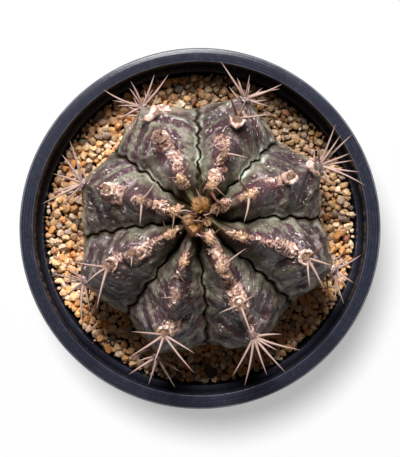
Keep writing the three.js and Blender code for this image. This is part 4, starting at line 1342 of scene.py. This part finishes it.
def scar_spots(rng, density):
    """Random places on the scars: rib, side, latitude and tone of each, more of them on wider
    scars."""
    parts = []
    for rib, first, last, side, half, tone in SCARS:
        count = int(4 + density * (arc_length(last) - arc_length(first)) * half)
        latitude = rng.uniform(first, last, count)
        spots = side + rng.normal(0, half * 0.45, count) / half_width(rib, latitude)
        tones = np.clip(tone + rng.normal(0, 0.22, count), 0, 1)
        parts.append((np.full(count, rib), np.clip(spots, -0.9, 0.9), latitude, tones))
    return [np.concatenate(column) for column in zip(*parts)]


def make_crust(material):
    """Raised cork: one fine sheet over each scar, as high as scar_at says, folded across the rib by
    a cosine of the distance along it, roughened, and sunk under the skin at its edges and below."""
    rows, columns, margin = 46, 26, 1.0
    across = np.tile(np.linspace(-1, 1, columns), rows)
    down = np.repeat(np.linspace(0, 1, rows), columns)
    edges = (np.abs(across) == 1) | (down == 0) | (down == 1)
    parts, tones, ridges = [], [], []
    for rib, first, last, centre, half, _ in SCARS:
        start, end = arc_length(first) - margin, arc_length(last) + margin
        arc = np.repeat(np.linspace(start, end, rows), columns)
        latitude = np.interp(arc, ARC_STEPS, LATITUDE_STEPS)
        side = centre + across * (half * 0.8 + margin) / half_width(rib, latitude)
        ribs = np.full(len(side), rib)
        plain = skin_point(ribs, side, latitude)
        amount, tone = scar_at(ribs, side, latitude, plain)
        folds = np.cos(2 * np.pi * (arc + 1.3 * lumps(plain, 1.8, 51)) / 1.15)
        coarse = roughness(plain, 1.15, 31, 3)
        lift = np.where(edges, -0.7, amount * (0.52 + 0.14 * folds + 0.42 * coarse) - 0.22)
        top = skin_point(ribs, side, latitude, lift).reshape(rows, columns, 3)
        below = skin_point(ribs, side, latitude, -1.0).reshape(rows, columns, 3)[:, [-1, 0]]
        shell = np.concatenate([top, below], 1)
        parts.append(np.concatenate([shell.reshape(-1, 3), shell[[0, -1]].mean(1)]))
        for values, kept in ((tone, tones), (0.45 + 0.2 * folds + 0.55 * coarse, ridges)):
            sheet = np.pad(values.reshape(rows, columns), ((0, 0), (0, 2)), "edge")
            kept.append(np.concatenate([sheet.ravel(), [0.0, 0.0]]))
    points, faces = copies(closed_grid((rows, columns + 2)), np.array(parts))
    add_piece("cork_crust", points, faces, material, "stem", tone=np.concatenate(tones),
              ridge=np.concatenate(ridges))


def make_flakes(material):
    """Flakes of cork that lie on the scars, and slivers of dead skin that curl up from them."""
    rng = np.random.default_rng(33)
    rib, side, latitude, tone = scar_spots(rng, 1.25)
    centres, axes = seats(rib, side, latitude, 0.4)
    radii = mix(0.18, 0.58, rng.random(len(rib)) ** 1.6)
    points, faces = plates(rng, centres, axes, radii, 0.3, 0.35)
    add_piece("cork_flakes", points, faces, material, "stem", smooth_shaded=False,
              tone=tone, ridge=rng.uniform(0.45, 0.95, len(rib)))
    rib, side, latitude, tone = scar_spots(rng, 0.6)
    centres, axes = seats(rib, side, latitude, 0.3)
    turn = rng.uniform(0, 2 * np.pi, (len(rib), 1))
    along = np.cos(turn) * axes[:, 0] + np.sin(turn) * axes[:, 1]
    along = unit(along + rng.uniform(0, 0.3, turn.shape) * axes[:, 2])
    lengths, radii = rng.uniform(0.7, 1.9, len(rib)), rng.uniform(0.07, 0.16, len(rib))
    bows, sideways = rng.uniform(0, 0.12, len(rib)), rng.normal(0, 0.16, len(rib))
    above = square_to(along, axes[:, 2])
    points, faces, _ = needles(centres, along, above, lengths, radii, bows, sideways, 5, 6)
    add_piece("skin_slivers", points, faces, material, "stem", tone=tone * 0.5,
              ridge=np.full(len(rib), 0.6))


def make_crown(settings):
    """The growing point: golden tufts of combed fibres that are browner at their backs as painted
    shade, low near-black felt between them that is partly painted shade of the hollows, and young
    brown spines that cross over it."""
    rng = np.random.default_rng(13)
    pads, hair, shades = [], [], []
    golden = [tuft[3] + 0.1 for tuft in WOOL] + [1.7] * len(FELT_BED)
    for number, (x, y, radius, _, azimuth) in enumerate(WOOL):
        centre = np.array([CROWN[0] + x, CROWN[1] + y, WOOL_LEVEL - 0.4])
        axes = np.stack([heading(azimuth, 8), heading(azimuth + 90, 0), heading(azimuth + 180, 82)])
        reach, height = (radius * 0.95, radius * 0.75), radius * 0.8
        pads.append((centre, axes, (0.8 * reach[0], 0.8 * reach[1]), 0.75 * height, 60 + number))
        hair.append(fibres(rng, centre, axes, reach, height, TUFT_FIBRES, 0.65 * radius, 0.055, 0.9))
        # Fibres further back in a tuft are browner: painted shade
        behind = (centre - hair[-1][0]) @ axes[0] / reach[0]
        varied = rng.uniform(-0.3, 0.2, TUFT_FIBRES)
        shades.append(golden[number] - 0.2 + 0.75 * smooth(0.0, 0.9, behind) + varied)
    for number, (x, y, radius) in enumerate(FELT_BED):
        centre = np.array([CROWN[0] + x, CROWN[1] + y, WOOL_LEVEL - 1.5])
        reach, height = (radius, radius * 0.85), 0.9
        pads.append((centre, np.eye(3), reach, height, 80 + number))
        hair.append(fibres(rng, centre, np.eye(3), reach, height, 60, 0.8, 0.03))
        shades.append(rng.uniform(1.2, 1.7, 60))
    material = wool_material(settings)
    add_pads("crown_felt", pads, material, ("crown_wool",), golden)
    add_fibres("crown_hair", hair, np.concatenate(shades), material, rng)
    count = 9
    bearing = np.arange(count) * 360 / count + rng.uniform(-16, 16, count)
    short = heading(bearing, rng.uniform(15, 60, count)) * rng.uniform(1.5, 2.6, (count, 1))
    middle = np.array([CROWN[0], CROWN[1] - 0.8, WOOL_LEVEL])
    roots = middle + heading(bearing, 0) * rng.uniform(0.2, 1.2, (count, 1))
    table = np.array(CROWN_SPINES)
    starts = np.concatenate([table[:, :3], roots])
    spans = np.concatenate([table[:, 3:6] - table[:, :3], short])
    radii = np.concatenate([table[:, 6], np.full(count, 0.2)])
    tones = np.concatenate([table[:, 7], rng.uniform(0.7, 1.0, count)])
    along, lengths = unit(spans), np.linalg.norm(spans, axis=1)
    bows, sideways = rng.uniform(0.03, 0.1, len(starts)), rng.normal(0, 0.05, len(starts))
    points, faces, where = needles(starts, along, upper_side(along), lengths, radii, bows, sideways)
    add_piece("young_spines", points, faces, spine_material(settings), "wool", along=where, tone=tones)


# ---- Stage ----------------------------------------------------------------------------------------

# The height of the picture in pixels, and the size in metres of a pixel at the height of the rim
IMAGE_HEIGHT, PIXEL = 457, 0.2485 * MM
RIM_HEIGHT = 78 * MM


def make_stage(settings):
    """A pale floor that glows like a light table, a large soft key light on the plant from the top
    of the picture, a weak low one from the other side, a small high one that only lights the floor
    and so gives the pot its short shadow, light all round, and the camera straight above."""
    scene = bpy.context.scene
    bpy.ops.mesh.primitive_plane_add(size=6, location=(0, 0, 0))
    floor = bpy.context.object
    floor.name = "floor"
    graph = Material("pale_floor", Roughness=0.9, Emission_Color=(1.0, 1.0, 1.0, 1.0),
                     Emission_Strength=settings.glow)
    base = tuple(settings.floor)
    clouds = graph.blend(graph.noise(graph.place(), 30.0, 2.0), base, tuple(0.985 * c for c in base))
    floor.data.materials.append(graph.finish(Base_Color=clouds))
    for name, azimuth, rise, size, power, state in (
            ("key", 97, 46.5, 0.42, settings.key_power, "EXCLUDE"),
            ("side_light", 288, -4, 0.7, settings.side_power, "EXCLUDE"),
            ("floor_light", 115, 81.8, 0.13, settings.floor_power, "INCLUDE")):
        light = bpy.data.lights.new(name, "AREA")
        light.shape, light.size, light.energy = "DISK", size, power
        lamp = bpy.data.objects.new(name, light)
        lamp.location = tuple(heading(azimuth, rise) * 0.9 + np.array([0, 0, 0.08]))
        lamp.rotation_mode = "QUATERNION"
        lamp.rotation_quaternion = lamp.location.to_track_quat("Z", "Y")
        scene.collection.objects.link(lamp)
        receivers = bpy.data.collections.new(name + "_receivers")
        receivers.objects.link(floor)
        receivers.collection_objects[0].light_linking.link_state = state
        lamp.light_linking.receiver_collection = receivers
    world = bpy.data.worlds.new("studio")
    world.use_nodes = True
    sky = world.node_tree.nodes["Background"].inputs
    sky["Color"].default_value = (1.0, 0.93, 0.85, 1.0)
    sky["Strength"].default_value = settings.fill
    scene.world = world
    scene.view_settings.view_transform = "Standard"
    camera = bpy.data.cameras.new("overhead")
    lens = bpy.data.objects.new("overhead", camera)
    camera.sensor_width = 36.0
    camera.lens = camera.sensor_width * settings.camera_height / (IMAGE_HEIGHT * PIXEL)
    lens.location = (0.0, 0.0, RIM_HEIGHT + settings.camera_height)
    scene.collection.objects.link(lens)
    scene.camera = lens


# ---- Operators ------------------------------------------------------------------------------------

class Step:
    """What the operators share: each runs its make with the scene, whose settings it uses."""

    def execute(self, context):
        self.make(context.scene)
        return {"FINISHED"}


class CACTUS_OT_stage(Step, bpy.types.Operator):
    """Set up the floor, the lights and the camera above the plant"""

    bl_idname = "cactus.stage"
    bl_label = "Stage"

    def make(self, scene):
        make_stage(scene.cactus_stage)


class CACTUS_OT_pot(Step, bpy.types.Operator):
    """Turn the pot from its profile, cut its holes, and finish the soil inside it"""

    bl_idname = "cactus.pot"
    bl_label = "Pot and soil"

    def make(self, scene):
        make_pot(scene.cactus_pot)
        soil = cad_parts["potting_soil"]
        soil.data.materials.clear()
        soil.data.materials.append(soil_material())


class CACTUS_OT_gravel(Step, bpy.types.Operator):
    """Strew the gravel and lay the accent stones"""

    bl_idname = "cactus.gravel"
    bl_label = "Gravel"

    def make(self, scene):
        make_gravel(scene.cactus_gravel)


class CACTUS_OT_skin(Step, bpy.types.Operator):
    """Grow the ribbed and banded skin"""

    bl_idname = "cactus.skin"
    bl_label = "Skin"

    def make(self, scene):
        make_skin(scene.cactus_plant)


class CACTUS_OT_scars(Step, bpy.types.Operator):
    """Add the crust and flakes of cork on the crests and the bark collars round old areoles"""

    bl_idname = "cactus.scars"
    bl_label = "Scars and collars"

    def make(self, scene):
        material = cork_material(scene.cactus_plant)
        make_crust(material)
        make_flakes(material)
        make_collars(material)


class CACTUS_OT_areoles(Step, bpy.types.Operator):
    """Felt the areoles and set their spines"""

    bl_idname = "cactus.areoles"
    bl_label = "Areoles and spines"

    def make(self, scene):
        make_areoles(scene.cactus_plant)
        make_spines(scene.cactus_plant)


class CACTUS_OT_crown(Step, bpy.types.Operator):
    """Add the wool and the young spines of the growing point"""

    bl_idname = "cactus.crown"
    bl_label = "Crown"

    def make(self, scene):
        make_crown(scene.cactus_plant)


OPERATORS = (CACTUS_OT_stage, CACTUS_OT_pot, CACTUS_OT_gravel, CACTUS_OT_skin, CACTUS_OT_scars,
             CACTUS_OT_areoles, CACTUS_OT_crown)
SETTINGS = {"cactus_plant": CactusPlantSettings, "cactus_pot": CactusPotSettings,
            "cactus_gravel": CactusGravelSettings, "cactus_stage": CactusStageSettings}


class CACTUS_PT_sidebar(bpy.types.Panel):
    """Lists the steps and their settings in the 3D view's sidebar"""

    bl_idname = "CACTUS_PT_sidebar"
    bl_label = "Potted round cactus"
    bl_space_type = "VIEW_3D"
    bl_region_type = "UI"
    bl_category = "Cactus"

    def draw(self, context):
        for operator in OPERATORS:
            self.layout.operator(operator.bl_idname)
        for name, group in SETTINGS.items():
            box = self.layout.box()
            for key in group.__annotations__:
                box.prop(getattr(context.scene, name), key)


def register():
    """Registers the settings, the operators and the panel."""
    for group in SETTINGS.values():
        bpy.utils.register_class(group)
    for name, group in SETTINGS.items():
        setattr(bpy.types.Scene, name, PointerProperty(type=group))
    for operator in OPERATORS:
        bpy.utils.register_class(operator)
    bpy.utils.register_class(CACTUS_PT_sidebar)


def unregister():
    """Takes back what register did, in the opposite order."""
    bpy.utils.unregister_class(CACTUS_PT_sidebar)
    for operator in reversed(OPERATORS):
        bpy.utils.unregister_class(operator)
    for name in SETTINGS:
        delattr(bpy.types.Scene, name)
    for group in reversed(list(SETTINGS.values())):
        bpy.utils.unregister_class(group)


def main():
    """Registers the add-on and makes every piece in order."""
    register()
    for operator in OPERATORS:
        getattr(bpy.ops.cactus, operator.bl_idname.split(".")[1])()


if __name__ == "__main__":
    main()
